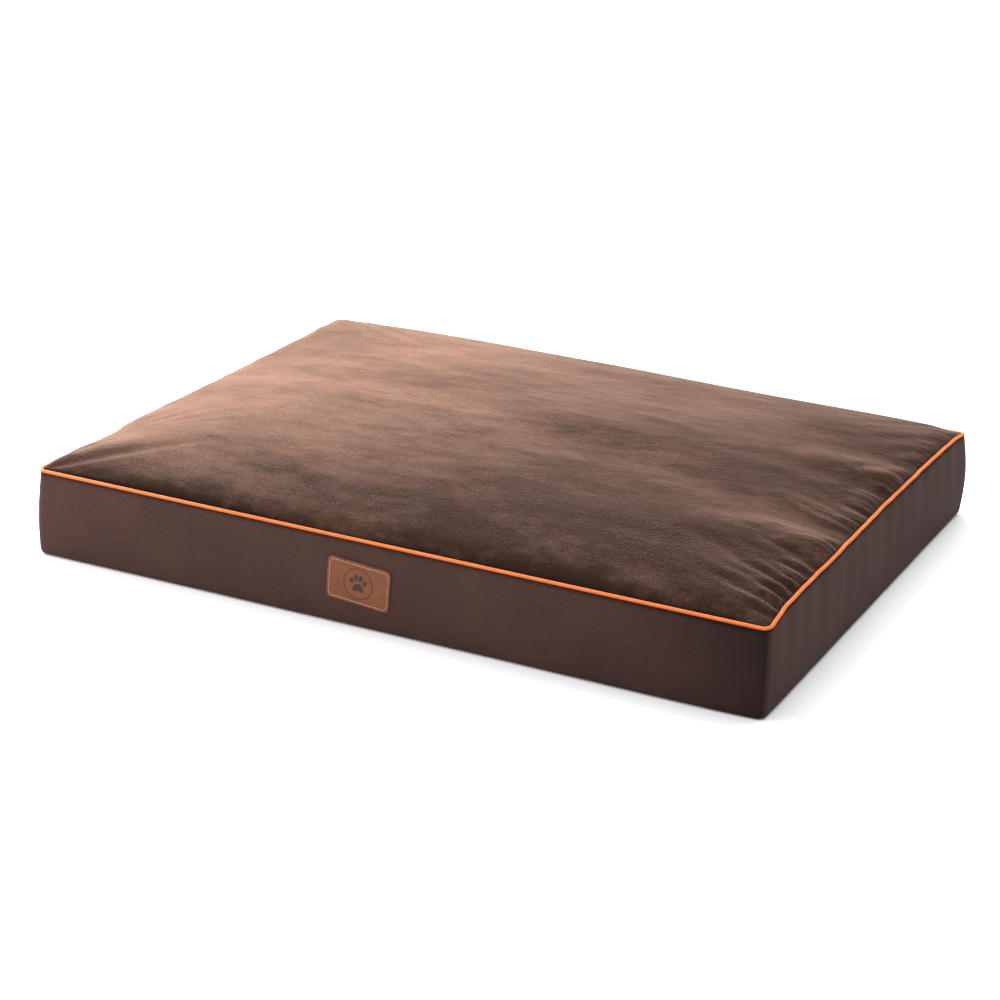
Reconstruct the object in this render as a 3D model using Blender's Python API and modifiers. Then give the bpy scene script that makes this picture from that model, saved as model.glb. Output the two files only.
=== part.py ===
"""Boxed pet cushion bed: a zipped cover with a welted top seam round a zipped liner of foam and wadding.

Metres, +Z up. The origin is on the floor under the middle of the bed, X runs along the long side,
and the front, which carries the leather label, faces -Y. The cover's zip is in the rear band.
"""
import math

import bmesh
import bpy
from mathutils import Vector

# Driving dimensions of the cover
LENGTH = 0.922
WIDTH = 0.686
SEAM_HEIGHT = 0.105
CORNER_RADIUS = 0.011
FIT_GAP = 0.0003
BAND_CLOTH = 0.0012
BASE_CLOTH = 0.0010
PLUSH = 0.0020
HEM = 0.010
CORNER_STEPS = 4

# Crown of the top panel: a steep shoulder next to the seam and a broad dome over it
SEAM_LIP = 0.0015
SHOULDER_RISE, SHOULDER_REACH = 0.008, 0.010
DOME_RISE, DOME_REACH = 0.025, 0.090

# The seam of the short sides lifts and pulls in between its corners, and the bands belly out a little
RIGHT_LIFT, LEFT_LIFT, SEAM_PULL_IN = 0.0095, 0.0042, 0.0027
LIFT_FROM_CORNER, LIFT_INTO_PANEL = 0.040, 0.100
FRONT_BULGE, SIDE_BULGE, CORNER_BULGE = 0.0015, 0.003, 0.003

# Welt
WELT_RADIUS = 0.0021
WELT_CLOTH = 0.0006
WELT_FLANGE = 0.008
WELT_INSET = 0.0014

# Liner and fillings
LINER_INSET, LINER_CORNER = 0.009, 0.007
LINER_FILM = 0.0008
LINER_CLEARANCE, LINER_EDGE_DROP, LINER_EDGE_REACH = 0.0007, 0.0095, 0.012
FOAM_INSET = 0.013
SUPPORT_FOAM_HEIGHT = 0.050
COMFORT_BASE, COMFORT_BUMP = 0.020, 0.020
COMFORT_BUMPS = (11, 8)

# Zips: the slot between the folded cloth edges is centred on ZIP_HEIGHT
ZIP_HEIGHT = 0.050
ZIP_SLOT = 0.012
CHAIN_HALF = 0.4105
TAPE_HALF = 0.438
SLOT_REACH = 0.4405
TAPE_WIDTH, TAPE_CLOTH = 0.015, 0.0007
SLIDER_LENGTH = 0.011
SLIDER_AT = CHAIN_HALF - SLIDER_LENGTH / 2

# Leather label on the front band
LABEL_SIZE = (0.078, 0.051)
LABEL_CORNER = 0.0065
LABEL_THICKNESS = 0.0018
LABEL_CENTRE = (-0.0235, 0.0545)
LABEL_TILT = math.radians(4)
STITCH_MARGIN = 0.0032
STITCH_RADIUS = 0.0004

HALF_X, HALF_Y = LENGTH / 2, WIDTH / 2
TOP_INSET = WELT_INSET + WELT_RADIUS + FIT_GAP
SIDE_NORMALS = {"front": -math.pi / 2, "right": 0.0, "rear": math.pi / 2, "left": math.pi}

COLOURS = {
    "plush": ((0.19, 0.115, 0.085), 0.95, 0.0),
    "oxford": ((0.075, 0.042, 0.034), 0.85, 0.0),
    "welt": ((0.85, 0.22, 0.05), 0.7, 0.0),
    "cotton_cord": ((0.82, 0.79, 0.72), 0.9, 0.0),
    "anti_slip": ((0.045, 0.04, 0.04), 0.8, 0.0),
    "zip_tape": ((0.06, 0.035, 0.03), 0.8, 0.0),
    "zip_coil": ((0.045, 0.028, 0.024), 0.4, 0.0),
    "zip_metal": ((0.30, 0.26, 0.22), 0.35, 1.0),
    "leather": ((0.33, 0.13, 0.065), 0.55, 0.0),
    "thread": ((0.70, 0.42, 0.25), 0.7, 0.0),
    "satin": ((0.85, 0.84, 0.82), 0.5, 0.0),
    "liner": ((0.62, 0.65, 0.68), 0.45, 0.0),
    "wadding": ((0.88, 0.88, 0.86), 0.95, 0.0),
    "comfort_foam": ((0.55, 0.68, 0.78), 0.95, 0.0),
    "support_foam": ((0.80, 0.78, 0.70), 0.95, 0.0),
}


# ---------------------------------------------------------------- scene helpers


def clear_scene():
    for obj in list(bpy.data.objects):
        bpy.data.objects.remove(obj)


def collection(name):
    made = bpy.data.collections.new(name)
    bpy.context.scene.collection.children.link(made)
    return made


def material(slot):
    found = bpy.data.materials.get(slot)
    if found:
        return found
    colour, roughness, metallic = COLOURS[slot]
    made = bpy.data.materials.new(slot)
    made.use_nodes = True
    shader = made.node_tree.nodes["Principled BSDF"]
    shader.inputs["Base Color"].default_value = (*colour, 1.0)
    shader.inputs["Roughness"].default_value = roughness
    shader.inputs["Metallic"].default_value = metallic
    return made


def add(name, data, slot=None, parent=None, location=(0, 0, 0)):
    """Links a part, with its material, into the bed's collection."""
    obj = bpy.data.objects.new(name, data)
    bpy.data.collections["pet_cushion_bed"].objects.link(obj)
    obj.location = location
    obj.parent = parent
    if slot:
        data.materials.append(material(slot))
    return obj


def helper(name, data, location=(0, 0, 0), parent=None):
    """Links a cutter or a guide, which is not part of the object."""
    obj = bpy.data.objects.new(name, data)
    bpy.data.collections["helpers"].objects.link(obj)
    obj.location = location
    obj.parent = parent
    obj.hide_render = True
    obj.display_type = "WIRE"
    return obj


def mesh_from(bm, name):
    mesh = bpy.data.meshes.new(name)
    bm.to_mesh(mesh)
    bm.free()
    return mesh


def solidify(obj, thickness):
    """Gives an open surface its thickness on the side its normals point away from."""
    modifier = obj.modifiers.new("cloth", "SOLIDIFY")
    modifier.thickness = thickness
    modifier.offset = -1
    modifier.use_even_offset = True


def bevel(obj, width, segments=2, angle=30):
    modifier = obj.modifiers.new("rounded", "BEVEL")
    modifier.width = width
    modifier.segments = segments
    modifier.limit_method = "ANGLE"
    modifier.angle_limit = math.radians(angle)


def boolean(obj, other, operation):
    modifier = obj.modifiers.new(operation.lower(), "BOOLEAN")
    modifier.operation = operation
    modifier.object = other


def smooth(obj, angle=35):
    obj.data.shade_smooth()
    obj.data.set_sharp_from_angle(angle=math.radians(angle))


def block_mesh(name, low, high):
    """A box mesh between two corners."""
    bm = bmesh.new()
    bmesh.ops.create_cube(bm, size=1)
    low, high = Vector(low), Vector(high)
    for vertex in bm.verts:
        vertex.co = (low + high) / 2 + vertex.co * (high - low)
    return mesh_from(bm, name)


def block(name, low, high, slot, parent=None):
    return add(name, block_mesh(name, low, high), slot, parent)


def curve_data(name, splines, cyclic=True, dimensions="3D"):
    data = bpy.data.curves.new(name, "CURVE")
    data.dimensions = dimensions
    for points in splines:
        spline = data.splines.new("POLY")
        spline.points.add(len(points) - 1)
        for point, co in zip(spline.points, points):
            point.co = (*co, *([0.0] * (3 - len(co))), 1.0)
        spline.use_cyclic_u = cyclic
    return data


def plate_mesh(name, outlines, thickness):
    """A flat plate in local XY, centred on Z 0. Outlines after the first are holes."""
    data = curve_data(name, outlines, dimensions="2D")
    data.fill_mode = "BOTH"
    data.extrude = thickness / 2
    source = helper(name + "_outline", data)
    bpy.context.view_layer.update()
    evaluated = source.evaluated_get(bpy.context.evaluated_depsgraph_get())
    bm = bmesh.new()
    bm.from_mesh(bpy.data.meshes.new_from_object(evaluated))
    bmesh.ops.remove_doubles(bm, verts=bm.verts, dist=1e-6)
    bpy.data.objects.remove(source)
    return mesh_from(bm, name)


def rounded_rectangle(width, height, radius, steps=6):
    """Outline of a rounded rectangle centred on the origin, anticlockwise from its lower right corner."""
    points = []
    for quarter, (sx, sy) in enumerate(((1, -1), (1, 1), (-1, 1), (-1, -1))):
        for k in range(steps + 1):
            angle = math.radians(90 * (quarter - 1) + 90 * k / steps)
            points.append(
                (
                    sx * (width / 2 - radius) + radius * math.cos(angle),
                    sy * (height / 2 - radius) + radius * math.sin(angle),
                )
            )
    return points


# ---------------------------------------------------------------- the bed's own shape


def approach(distance, reach):
    """0 at an edge, rising to 1 within a few times reach."""
    return 1 - math.exp(-max(distance, 0.0) / reach)


def crown(x, y, half_x, half_y):
    """Height of the top panel over its seam, for a panel of these half sizes."""
    dx, dy = half_x - abs(x), half_y - abs(y)
    shoulder = approach(dx, SHOULDER_REACH) * approach(dy, SHOULDER_REACH)
    dome = approach(dx, DOME_REACH) * approach(dy, DOME_REACH)
    return SHOULDER_RISE * shoulder + DOME_RISE * dome


def settle(x, y, z, share=1.0):
    """Lifts and pulls in the short sides between their corners. share is 1 at the seam, 0 at the floor."""
    along = approach(HALF_Y - abs(y), LIFT_FROM_CORNER)
    near = math.exp(-max(HALF_X - abs(x), 0.0) / LIFT_INTO_PANEL)
    amount = along * near * share
    lift = RIGHT_LIFT if x > 0 else LEFT_LIFT
    return (x - math.copysign(SEAM_PULL_IN * amount, x), y, z + lift * amount)


def graded(half, count):
    """2 * count + 1 positions from -half to half, closer together towards the ends."""
    return [half * math.sin(math.pi / 2 * k / count) for k in range(-count, count + 1)]


def round_corner(x, y, half_x, half_y, radius):
    """Moves a point of a rectangle so that the rectangle's corners become arcs."""
    a, b = (abs(x) - half_x) / radius + 1, (abs(y) - half_y) / radius + 1
    if a <= 0 or b <= 0:
        return x, y
    a, b = a * math.sqrt(1 - b * b / 2), b * math.sqrt(1 - a * a / 2)
    return (
        math.copysign(half_x - radius + a * radius, x),
        math.copysign(half_y - radius + b * radius, y),
    )


def side_path(side, inset, spans, trim=0.0, corner=CORNER_RADIUS):
    """Plan points of one side, anticlockwise from the middle of one corner's arc to the middle of the next.

    corner is the radius that the corner would have with no inset.
    """
    normal = SIDE_NORMALS[side]
    run, depth = (HALF_X, HALF_Y) if side in ("front", "rear") else (HALF_Y, HALF_X)
    radius, straight = corner - inset, run - corner
    quarter = math.pi / 4 - trim
    local = []
    for k in range(CORNER_STEPS + 1):
        angle = -quarter * (1 - k / CORNER_STEPS)
        local.append((radius * math.sin(angle) - straight, radius * (math.cos(angle) - 1)))
    middle = [(x, 0.0) for x in graded(straight, spans // 2)[1:-1]]
    local += middle + [(-s, d) for s, d in reversed(local)]
    out, along = (math.cos(normal), math.sin(normal)), (-math.sin(normal), math.cos(normal))
    return [
        (
            out[0] * (depth - inset + d) + along[0] * s,
            out[1] * (depth - inset + d) + along[1] * s,
        )
        for s, d in local
    ]


def grid_mesh(name, columns, rows, place):
    """An open surface: a grid whose vertex in column i and row j is moved to place(i, j)."""
    bm = bmesh.new()
    bmesh.ops.create_grid(bm, x_segments=columns - 1, y_segments=rows - 1, size=1)
    for vertex in bm.verts:
        i = round((vertex.co.x + 1) / 2 * (columns - 1))
        j = round((vertex.co.y + 1) / 2 * (rows - 1))
        vertex.co = place(i, j)
    return mesh_from(bm, name)


def sheet_mesh(name, half_x, half_y, radius, counts, height, hem_to=None):
    """A horizontal sheet with rounded corners. hem_to(x, y, z) says where its edge is folded to."""
    xs, ys = graded(half_x, counts[0]), graded(half_y, counts[1])

    def place(i, j):
        x, y = round_corner(xs[i], ys[j], half_x, half_y, radius)
        return height(x, y)

    mesh = grid_mesh(name, len(xs), len(ys), place)
    if hem_to is None:
        return mesh
    bm = bmesh.new()
    bm.from_mesh(mesh)
    rim = [edge for edge in bm.edges if edge.is_boundary]
    folded = bmesh.ops.extrude_edge_only(bm, edges=rim)["geom"]
    for vertex in folded:
        if isinstance(vertex, bmesh.types.BMVert):
            vertex.co = hem_to(*vertex.co)
    return mesh_from(bm, name)


def slab_mesh(name, half_x, half_y, radius, counts, top, floor):
    """A solid with a shaped top, rounded corners and a flat underside at floor."""
    xs, ys = graded(half_x, counts[0]), graded(half_y, counts[1])
    return closed_slab(name, xs, ys, (half_x, half_y, radius), top, floor)


def closed_slab(name, xs, ys, plan, top, floor):
    def place(i, j):
        x, y = round_corner(xs[i], ys[j], *plan)
        return (x, y, top(x, y))

    bm = bmesh.new()
    bm.from_mesh(grid_mesh(name, len(xs), len(ys), place))
    rim = [edge for edge in bm.edges if edge.is_boundary]
    lowered = bmesh.ops.extrude_edge_only(bm, edges=rim)["geom"]
    for vertex in lowered:
        if isinstance(vertex, bmesh.types.BMVert):
            vertex.co.z = floor
    bmesh.ops.holes_fill(bm, edges=[edge for edge in bm.edges if edge.is_boundary], sides=0)
    bmesh.ops.recalc_face_normals(bm, faces=bm.faces)
    return mesh_from(bm, name)


# ---------------------------------------------------------------- cover


def build_top_panel():
    half_x, half_y = HALF_X - TOP_INSET, HALF_Y - TOP_INSET
    hem_bottom = SEAM_HEIGHT - HEM + SEAM_LIP

    def surface(x, y):
        return settle(x, y, SEAM_HEIGHT + SEAM_LIP + crown(x, y, half_x, half_y))

    def hem(x, y, z):
        return (x, y, z - (SEAM_HEIGHT + SEAM_LIP - hem_bottom))

    mesh = sheet_mesh(
        "top_panel", half_x, half_y, CORNER_RADIUS - TOP_INSET, (14, 12), surface, hem
    )
    panel = add("top_panel", mesh, "plush")
    solidify(panel, PLUSH)
    smooth(panel)


def build_band(name, side, low, high, spans, bulge):
    """One strip of boxing between two heights. Its top edge follows the seam where high is the seam's.

    The two rear strips part for the zip and meet again past its ends.
    """
    rows = 7
    corner_trim = 0.04
    path = side_path(side, 0.0, spans, corner_trim)
    if side == "rear":
        first, final = CORNER_STEPS + 1, len(path) - 1 - CORNER_STEPS
        face = path[CORNER_STEPS][1]
        path = path[:first] + [(SLOT_REACH, face)] + path[first:final] + [(-SLOT_REACH, face)] + path[final:]
    last = len(path) - 1

    def place(i, j):
        foot, head = low, high
        if side == "rear" and min(i, last - i) <= CORNER_STEPS:
            foot = ZIP_HEIGHT + FIT_GAP / 2 if low > ZIP_HEIGHT else low
            head = ZIP_HEIGHT - FIT_GAP / 2 if high < ZIP_HEIGHT else high
        z = foot + (head - foot) * j / (rows - 1)
        from_end = min(i, last - i, CORNER_STEPS) / CORNER_STEPS
        turn = math.pi / 4 * (1 - from_end) * (1 if i > last / 2 else -1)
        normal = SIDE_NORMALS[side] + turn
        belly = CORNER_BULGE + (bulge - CORNER_BULGE) * from_end
        belly *= math.sin(math.pi * min(z / SEAM_HEIGHT, 1.0))
        x = path[i][0] + belly * math.cos(normal)
        y = path[i][1] + belly * math.sin(normal)
        return settle(x, y, z, z / SEAM_HEIGHT)

    band = add(name, grid_mesh(name, len(path), rows, place), "oxford")
    solidify(band, BAND_CLOTH)
    smooth(band)


def build_boxing():
    foot = 0.0008
    top = SEAM_HEIGHT - WELT_RADIUS - FIT_GAP
    build_band("front_band", "front", foot, top, 12, FRONT_BULGE)
    build_band("right_band", "right", foot, top, 16, SIDE_BULGE)
    build_band("left_band", "left", foot, top, 16, SIDE_BULGE)
    build_band("rear_band_lower", "rear", foot, ZIP_HEIGHT - ZIP_SLOT / 2, 4, 0.0)
    build_band("rear_band_upper", "rear", ZIP_HEIGHT + ZIP_SLOT / 2, top, 4, 0.0)


def build_base_panel():
    """The underside, with its hem turned up inside the bands."""
    inset = BAND_CLOTH + FIT_GAP + BASE_CLOTH
    half_x, half_y = HALF_X - inset, HALF_Y - inset
    mesh = sheet_mesh(
        "base_panel",
        half_x,
        half_y,
        CORNER_RADIUS - inset,
        (6, 5),
        lambda x, y: (x, y, BASE_CLOTH),
        lambda x, y, z: (x, y, HEM),
    )
    panel = add("base_panel", mesh, "anti_slip")
    solidify(panel, BASE_CLOTH)


def seam_path(inset, height):
    """The closed line that the welt follows round the top seam."""
    spans = {"front": 6, "right": 14, "rear": 6, "left": 14}
    points = []
    for side in ("front", "right", "rear", "left"):
        points += side_path(side, inset, spans[side])[:-1]
    return [settle(x, y, height) for x, y in points]


def welt_profile():
    """Section of the welt's cloth: wrapped round its cord, its edges hanging as a flange. -X is inwards."""
    outer, inner = WELT_RADIUS, WELT_RADIUS - WELT_CLOTH
    near, middle = 0.0001, 0.0001 + WELT_CLOTH
    slot, far = middle + FIT_GAP, middle + FIT_GAP + WELT_CLOTH
    steps = 12

    def arc(radius, start_x, end_x):
        start = math.asin(start_x / radius)
        end = 2 * math.pi + math.asin(end_x / radius)
        angles = [start + (end - start) * k / steps for k in range(steps + 1)]
        return [(-radius * math.sin(a), -radius * math.cos(a)) for a in angles]

    return [
        (-far, -WELT_FLANGE),
        *arc(outer, far, near),
        (-near, -WELT_FLANGE),
        (-middle, -WELT_FLANGE),
        *reversed(arc(inner, slot, middle)),
        (-slot, -WELT_FLANGE),
    ]


def build_welt():
    path = seam_path(WELT_INSET, SEAM_HEIGHT)
    profile = helper("welt_section", curve_data("welt_section", [welt_profile()], dimensions="2D"))
    cloth = curve_data("piping_cover", [path])
    cloth.twist_mode = "Z_UP"
    cloth.bevel_mode = "OBJECT"
    cloth.bevel_object = profile
    add("piping_cover", cloth, "welt")
    cord = curve_data("piping_cord", [path])
    cord.twist_mode = "Z_UP"
    cord.bevel_depth = WELT_RADIUS - WELT_CLOTH - FIT_GAP
    cord.bevel_resolution = 2
    add("piping_cord", cord, "cotton_cord")


# ---------------------------------------------------------------- zips


def zip_part(prefix, face, name, x, y, z, slot="zip_metal"):
    """A block on a zip: (low, high) in x, in y outwards from the rear face at face, in z from the chain."""
    return block(
        f"{prefix}_{name}",
        (x[0], face + y[0], ZIP_HEIGHT + z[0]),
        (x[1], face + y[1], ZIP_HEIGHT + z[1]),
        slot,
    )


def build_chain(prefix, face, tape_half, chain_half, tape_width):
    """The two tapes, the two coils and the stops at the ends of one closed zip."""
    tape_out = -BAND_CLOTH - FIT_GAP
    coil = (0.0008, 0.0032)
    for name, sign in (("upper", 1), ("lower", -1)):
        spread = lambda low, high: tuple(sorted((sign * low, sign * high)))
        zip_part(
            prefix, face, f"tape_{name}", (-tape_half, tape_half),
            (tape_out - TAPE_CLOTH, tape_out), spread(0.0009, tape_width), "zip_tape",
        )
        zip_part(
            prefix, face, f"coil_{name}", (-chain_half, chain_half),
            (-BAND_CLOTH, 0.0001), spread(*coil), "zip_coil",
        )
        zip_part(
            prefix, face, f"top_stop_{name}", (chain_half + 0.0007, chain_half + 0.0037),
            (-BAND_CLOTH, 0.0005), spread(0.0006, 0.0036),
        )
    zip_part(
        prefix, face, "bottom_stop", (-chain_half - 0.0037, -chain_half - 0.0007),
        (-BAND_CLOTH, 0.0006), (-0.0034, 0.0034),
    )


def slider_outline(scale):
    """A slider's plate seen from outside: wide at its mouth, narrower at its tail."""
    half = SLIDER_LENGTH / 2 * scale
    return [
        (-half, -0.0038), (half - 0.003, -0.0046), (half, -0.0038),
        (half, 0.0038), (half - 0.003, 0.0046), (-half, 0.0038),
    ]


def bail_outline(half, height, bar):
    """Side view of the arch that a pull hangs on, with its feet sunk into the plate at Y 0."""
    sunk = -0.0004
    crest = height + bar
    return [
        (-half, sunk), (-half, crest - 0.0008), (-half + 0.0008, crest),
        (half - 0.0008, crest), (half, crest - 0.0008), (half, sunk),
        (half - 0.001, sunk), (half - 0.001, height),
        (-half + 0.001, height), (-half + 0.001, sunk),
    ]


def build_slider(prefix, face, at, bail_height):
    """A die-cast slider: two plates joined by the neck between the coils, side flanges and a bail."""
    empty = bpy.data.objects.new(prefix + "_slider_frame", None)
    bpy.data.collections["helpers"].objects.link(empty)
    empty.location = (at, face, ZIP_HEIGHT)
    empty.rotation_euler = (math.pi / 2, 0, 0)
    # Inside this frame X runs along the chain, Y up and Z into the bed.
    top_in, top_out = -0.0004, -0.0014
    bottom_out, bottom_in = 0.0025, 0.0034
    plate = plate_mesh(prefix + "_slider", [slider_outline(1)], top_in - top_out)
    slider = add(prefix + "_slider", plate, "zip_metal", empty, (0, 0, (top_in + top_out) / 2))
    pieces = {
        "back_plate": plate_mesh("back_plate", [slider_outline(1)], bottom_in - bottom_out),
        "neck": block_mesh(
            "neck", (0.002, -0.0005, top_out + 0.0003), (0.0045, 0.0005, bottom_in - 0.0003)
        ),
        "flange_up": block_mesh(
            "flange_up", (-0.005, 0.00352, top_in - 0.0005), (0.0048, 0.0041, 0.0012)
        ),
        "flange_down": block_mesh(
            "flange_down", (-0.005, -0.0041, top_in - 0.0005), (0.0048, -0.00352, 0.0012)
        ),
        "bail": plate_mesh("bail", [bail_outline(0.0035, bail_height, 0.0009)], 0.0016),
    }
    for name, mesh in pieces.items():
        piece = helper(f"{prefix}_{name}", mesh, parent=empty)
        if name == "back_plate":
            piece.location = (0, 0, (bottom_out + bottom_in) / 2)
        if name == "bail":
            piece.rotation_euler = (-math.pi / 2, 0, 0)
            piece.location = (0, 0, top_out)
        boolean(slider, piece, "UNION")
    return empty


def pull_outlines(bar, eye_end, length):
    """The pull and its eye, lying towards -X, with the middle of the eye's bar on the origin."""
    half_bar = bar / 2
    neck, tab = 0.0021, 0.0038
    outer = [
        (half_bar, -neck), (half_bar, neck), (-eye_end - 0.002, neck),
        (-eye_end - 0.005, tab),
    ]
    end_radius, steps = tab, 8
    for k in range(steps + 1):
        angle = math.pi / 2 + math.pi * k / steps
        outer.append(
            (
                -length + end_radius + end_radius * math.cos(angle),
                end_radius * math.sin(angle),
            )
        )
    outer += [(-eye_end - 0.005, -tab), (-eye_end - 0.002, -neck)]
    eye_half = 0.0012
    eye = [(-half_bar, -eye_half), (-eye_end, -eye_half), (-eye_end, eye_half), (-half_bar, eye_half)]
    return [outer, eye]


def build_pull(slider_frame):
    """The pull turns about the bar of its eye, which passes under the slider's bail."""
    bar = 0.0009
    frame = bpy.data.objects.new("cover_zip_pull_frame", None)
    bpy.data.collections["helpers"].objects.link(frame)
    frame.parent = slider_frame
    frame.location = (0, 0, -0.0022)
    mesh = plate_mesh("cover_zip_pull", pull_outlines(bar, 0.0043, 0.030), bar)
    add("cover_zip_pull", mesh, "zip_metal", frame)


def build_cover_zip():
    build_chain("cover_zip", HALF_Y, TAPE_HALF, CHAIN_HALF, TAPE_WIDTH)
    frame = build_slider("cover_zip", HALF_Y, SLIDER_AT, 0.0016)
    build_pull(frame)
    for name, sign in (("left", -1), ("right", 1)):
        ends = sorted((sign * (CHAIN_HALF + 0.0065), sign * (SLOT_REACH + 0.0075)))
        guard = block(
            f"zip_guard_{name}",
            (ends[0], HALF_Y + FIT_GAP, ZIP_HEIGHT - 0.010),
            (ends[1], HALF_Y + FIT_GAP + 0.0010, ZIP_HEIGHT + 0.010),
            "oxford",
        )
        bevel(guard, 0.0003, 1)


# ---------------------------------------------------------------- labels


def build_label():
    """The stitched leather patch on the front band, and the thread that lies in its groove."""
    face = -(HALF_Y + FRONT_BULGE + FIT_GAP + LABEL_THICKNESS)
    frame = bpy.data.objects.new("label_frame", None)
    bpy.data.collections["helpers"].objects.link(frame)
    frame.location = (LABEL_CENTRE[0], face, LABEL_CENTRE[1])
    # In this frame X runs to the right, Y up and Z out of the label's face.
    frame.rotation_euler = (math.pi / 2, LABEL_TILT, 0)
    outline = rounded_rectangle(*LABEL_SIZE, LABEL_CORNER)
    mesh = plate_mesh("label_patch", [outline], LABEL_THICKNESS)
    patch = add("label_patch", mesh, "leather", frame, (0, 0, -LABEL_THICKNESS / 2))
    bevel(patch, 0.0004, 1)
    inner = [side - 2 * STITCH_MARGIN for side in LABEL_SIZE]
    loop = rounded_rectangle(*inner, LABEL_CORNER - STITCH_MARGIN / 2)
    groove = curve_data("label_groove", [loop])
    groove.bevel_depth = STITCH_RADIUS + FIT_GAP + 0.0001
    groove.bevel_resolution = 2
    source = helper("label_groove_curve", groove)
    bpy.context.view_layer.update()
    cut = bpy.data.meshes.new_from_object(
        source.evaluated_get(bpy.context.evaluated_depsgraph_get())
    )
    bpy.data.objects.remove(source)
    cutter = helper("label_groove", cut, parent=frame)
    boolean(patch, cutter, "DIFFERENCE")
    thread = curve_data("label_thread", [loop])
    thread.bevel_depth = STITCH_RADIUS
    thread.bevel_resolution = 1
    add("label_thread", thread, "thread", frame)


def build_care_label():
    """A folded satin tag caught in the rear lower band's seam."""
    left, width, foot, height, thickness = -0.325, 0.030, 0.004, 0.032, 0.0006
    tag = block(
        "care_label",
        (left, HALF_Y + FIT_GAP, foot),
        (left + width, HALF_Y + FIT_GAP + thickness, foot + height),
        "satin",
    )
    bevel(tag, 0.00015, 1)


# ---------------------------------------------------------------- liner and fillings


def from_liner_edge(x, y):
    """0 at the edge of the liner's top, 1 well inside it."""
    along_x = approach(HALF_X - LINER_INSET - abs(x), LINER_EDGE_REACH)
    return along_x * approach(HALF_Y - LINER_INSET - abs(y), LINER_EDGE_REACH)


def liner_height(x, y):
    """Outside of the liner's top: under the cover's top panel, and clear of its hem at the edge."""
    half_x, half_y = HALF_X - TOP_INSET, HALF_Y - TOP_INSET
    under = SEAM_HEIGHT + SEAM_LIP + crown(x, y, half_x, half_y) - PLUSH
    return under - LINER_CLEARANCE - LINER_EDGE_DROP * (1 - from_liner_edge(x, y))


def build_liner():
    """A coated bag: top, base, one gusset round three sides and two strips beside its zip at the rear."""
    half_x, half_y = HALF_X - LINER_INSET, HALF_Y - LINER_INSET
    radius = LINER_CORNER
    base_low = BASE_CLOTH + FIT_GAP
    gusset_low = base_low + LINER_FILM + FIT_GAP
    top = sheet_mesh(
        "liner_top", half_x, half_y, radius, (11, 9), lambda x, y: (x, y, liner_height(x, y))
    )
    panel = add("liner_top", top, "liner")
    solidify(panel, LINER_FILM)
    smooth(panel)
    flat = sheet_mesh(
        "liner_base", half_x, half_y, radius, (3, 3), lambda x, y: (x, y, base_low + LINER_FILM)
    )
    base = add("liner_base", flat, "liner")
    solidify(base, LINER_FILM)
    build_liner_gusset(gusset_low)


def build_liner_gusset(low):
    outer = LINER_INSET + LINER_CORNER
    path = side_path("left", LINER_INSET, 4, 0.05, outer)[:-1]
    path += side_path("front", LINER_INSET, 4, 0.0, outer)
    path += side_path("right", LINER_INSET, 4, 0.05, outer)[1:]
    rear = side_path("rear", LINER_INSET, 4, 0.05, outer)
    slot = (ZIP_HEIGHT - ZIP_SLOT / 2, ZIP_HEIGHT + ZIP_SLOT / 2)
    strips = {
        "liner_gusset": (path, low, None),
        "liner_rear_lower": (rear, low, slot[0]),
        "liner_rear_upper": (rear, slot[1], None),
    }
    for name, (line, foot, head) in strips.items():
        def place(i, j):
            seam = liner_height(*line[i]) - LINER_FILM - 2 * FIT_GAP
            return (*line[i], foot if j == 0 else head or seam)

        strip = add(name, grid_mesh(name, len(line), 2, place), "liner")
        solidify(strip, LINER_FILM)


def build_fillings():
    half_x, half_y = HALF_X - FOAM_INSET, HALF_Y - FOAM_INSET
    radius = 0.006
    floor = BASE_CLOTH + LINER_FILM + 2 * FIT_GAP
    support_top = floor + SUPPORT_FOAM_HEIGHT
    comfort_floor = support_top + FIT_GAP
    comfort_top = comfort_floor + COMFORT_BASE + COMFORT_BUMP
    foam = slab_mesh(
        "support_foam", half_x, half_y, radius, (4, 4), lambda x, y: support_top, floor
    )
    add("support_foam", foam, "support_foam")

    def egg_crate(x, y):
        wave_x = math.cos(math.pi * COMFORT_BUMPS[0] * (x / half_x + 1))
        wave_y = math.cos(math.pi * COMFORT_BUMPS[1] * (y / half_y + 1))
        return comfort_floor + COMFORT_BASE + COMFORT_BUMP * (0.5 + 0.25 * (wave_x + wave_y))

    def even(half, bumps):
        count = 4 * bumps
        return [half * (2 * k / count - 1) for k in range(count + 1)]

    xs, ys = even(half_x, COMFORT_BUMPS[0]), even(half_y, COMFORT_BUMPS[1])
    crate = closed_slab("comfort_foam", xs, ys, (half_x, half_y, radius), egg_crate, comfort_floor)
    add("comfort_foam", crate, "comfort_foam")

    def pillow(x, y):
        return liner_height(x, y) - LINER_FILM - 2 * FIT_GAP - 0.003 * (1 - from_liner_edge(x, y))

    wadding = slab_mesh(
        "fibre_wadding", half_x, half_y, radius, (11, 9), pillow, comfort_top + FIT_GAP
    )
    add("fibre_wadding", wadding, "wadding")


def build_liner_zip():
    face = HALF_Y - LINER_INSET
    build_chain("liner_zip", face, TAPE_HALF - 0.006, CHAIN_HALF - 0.006, TAPE_WIDTH - 0.002)
    build_slider("liner_zip", face, SLIDER_AT - 0.006, 0.0012)


def main():
    clear_scene()
    collection("pet_cushion_bed")
    collection("helpers")
    build_top_panel()
    build_boxing()
    build_base_panel()
    build_welt()
    build_cover_zip()
    build_label()
    build_care_label()
    build_liner()
    build_fillings()
    build_liner_zip()


main()
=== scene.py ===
"""Looks of the boxed pet cushion bed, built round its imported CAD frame.

Metres, +Z up, in the frame's own axes: X along the long side, the front band with the leather label at -Y.
"""
import math

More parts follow.
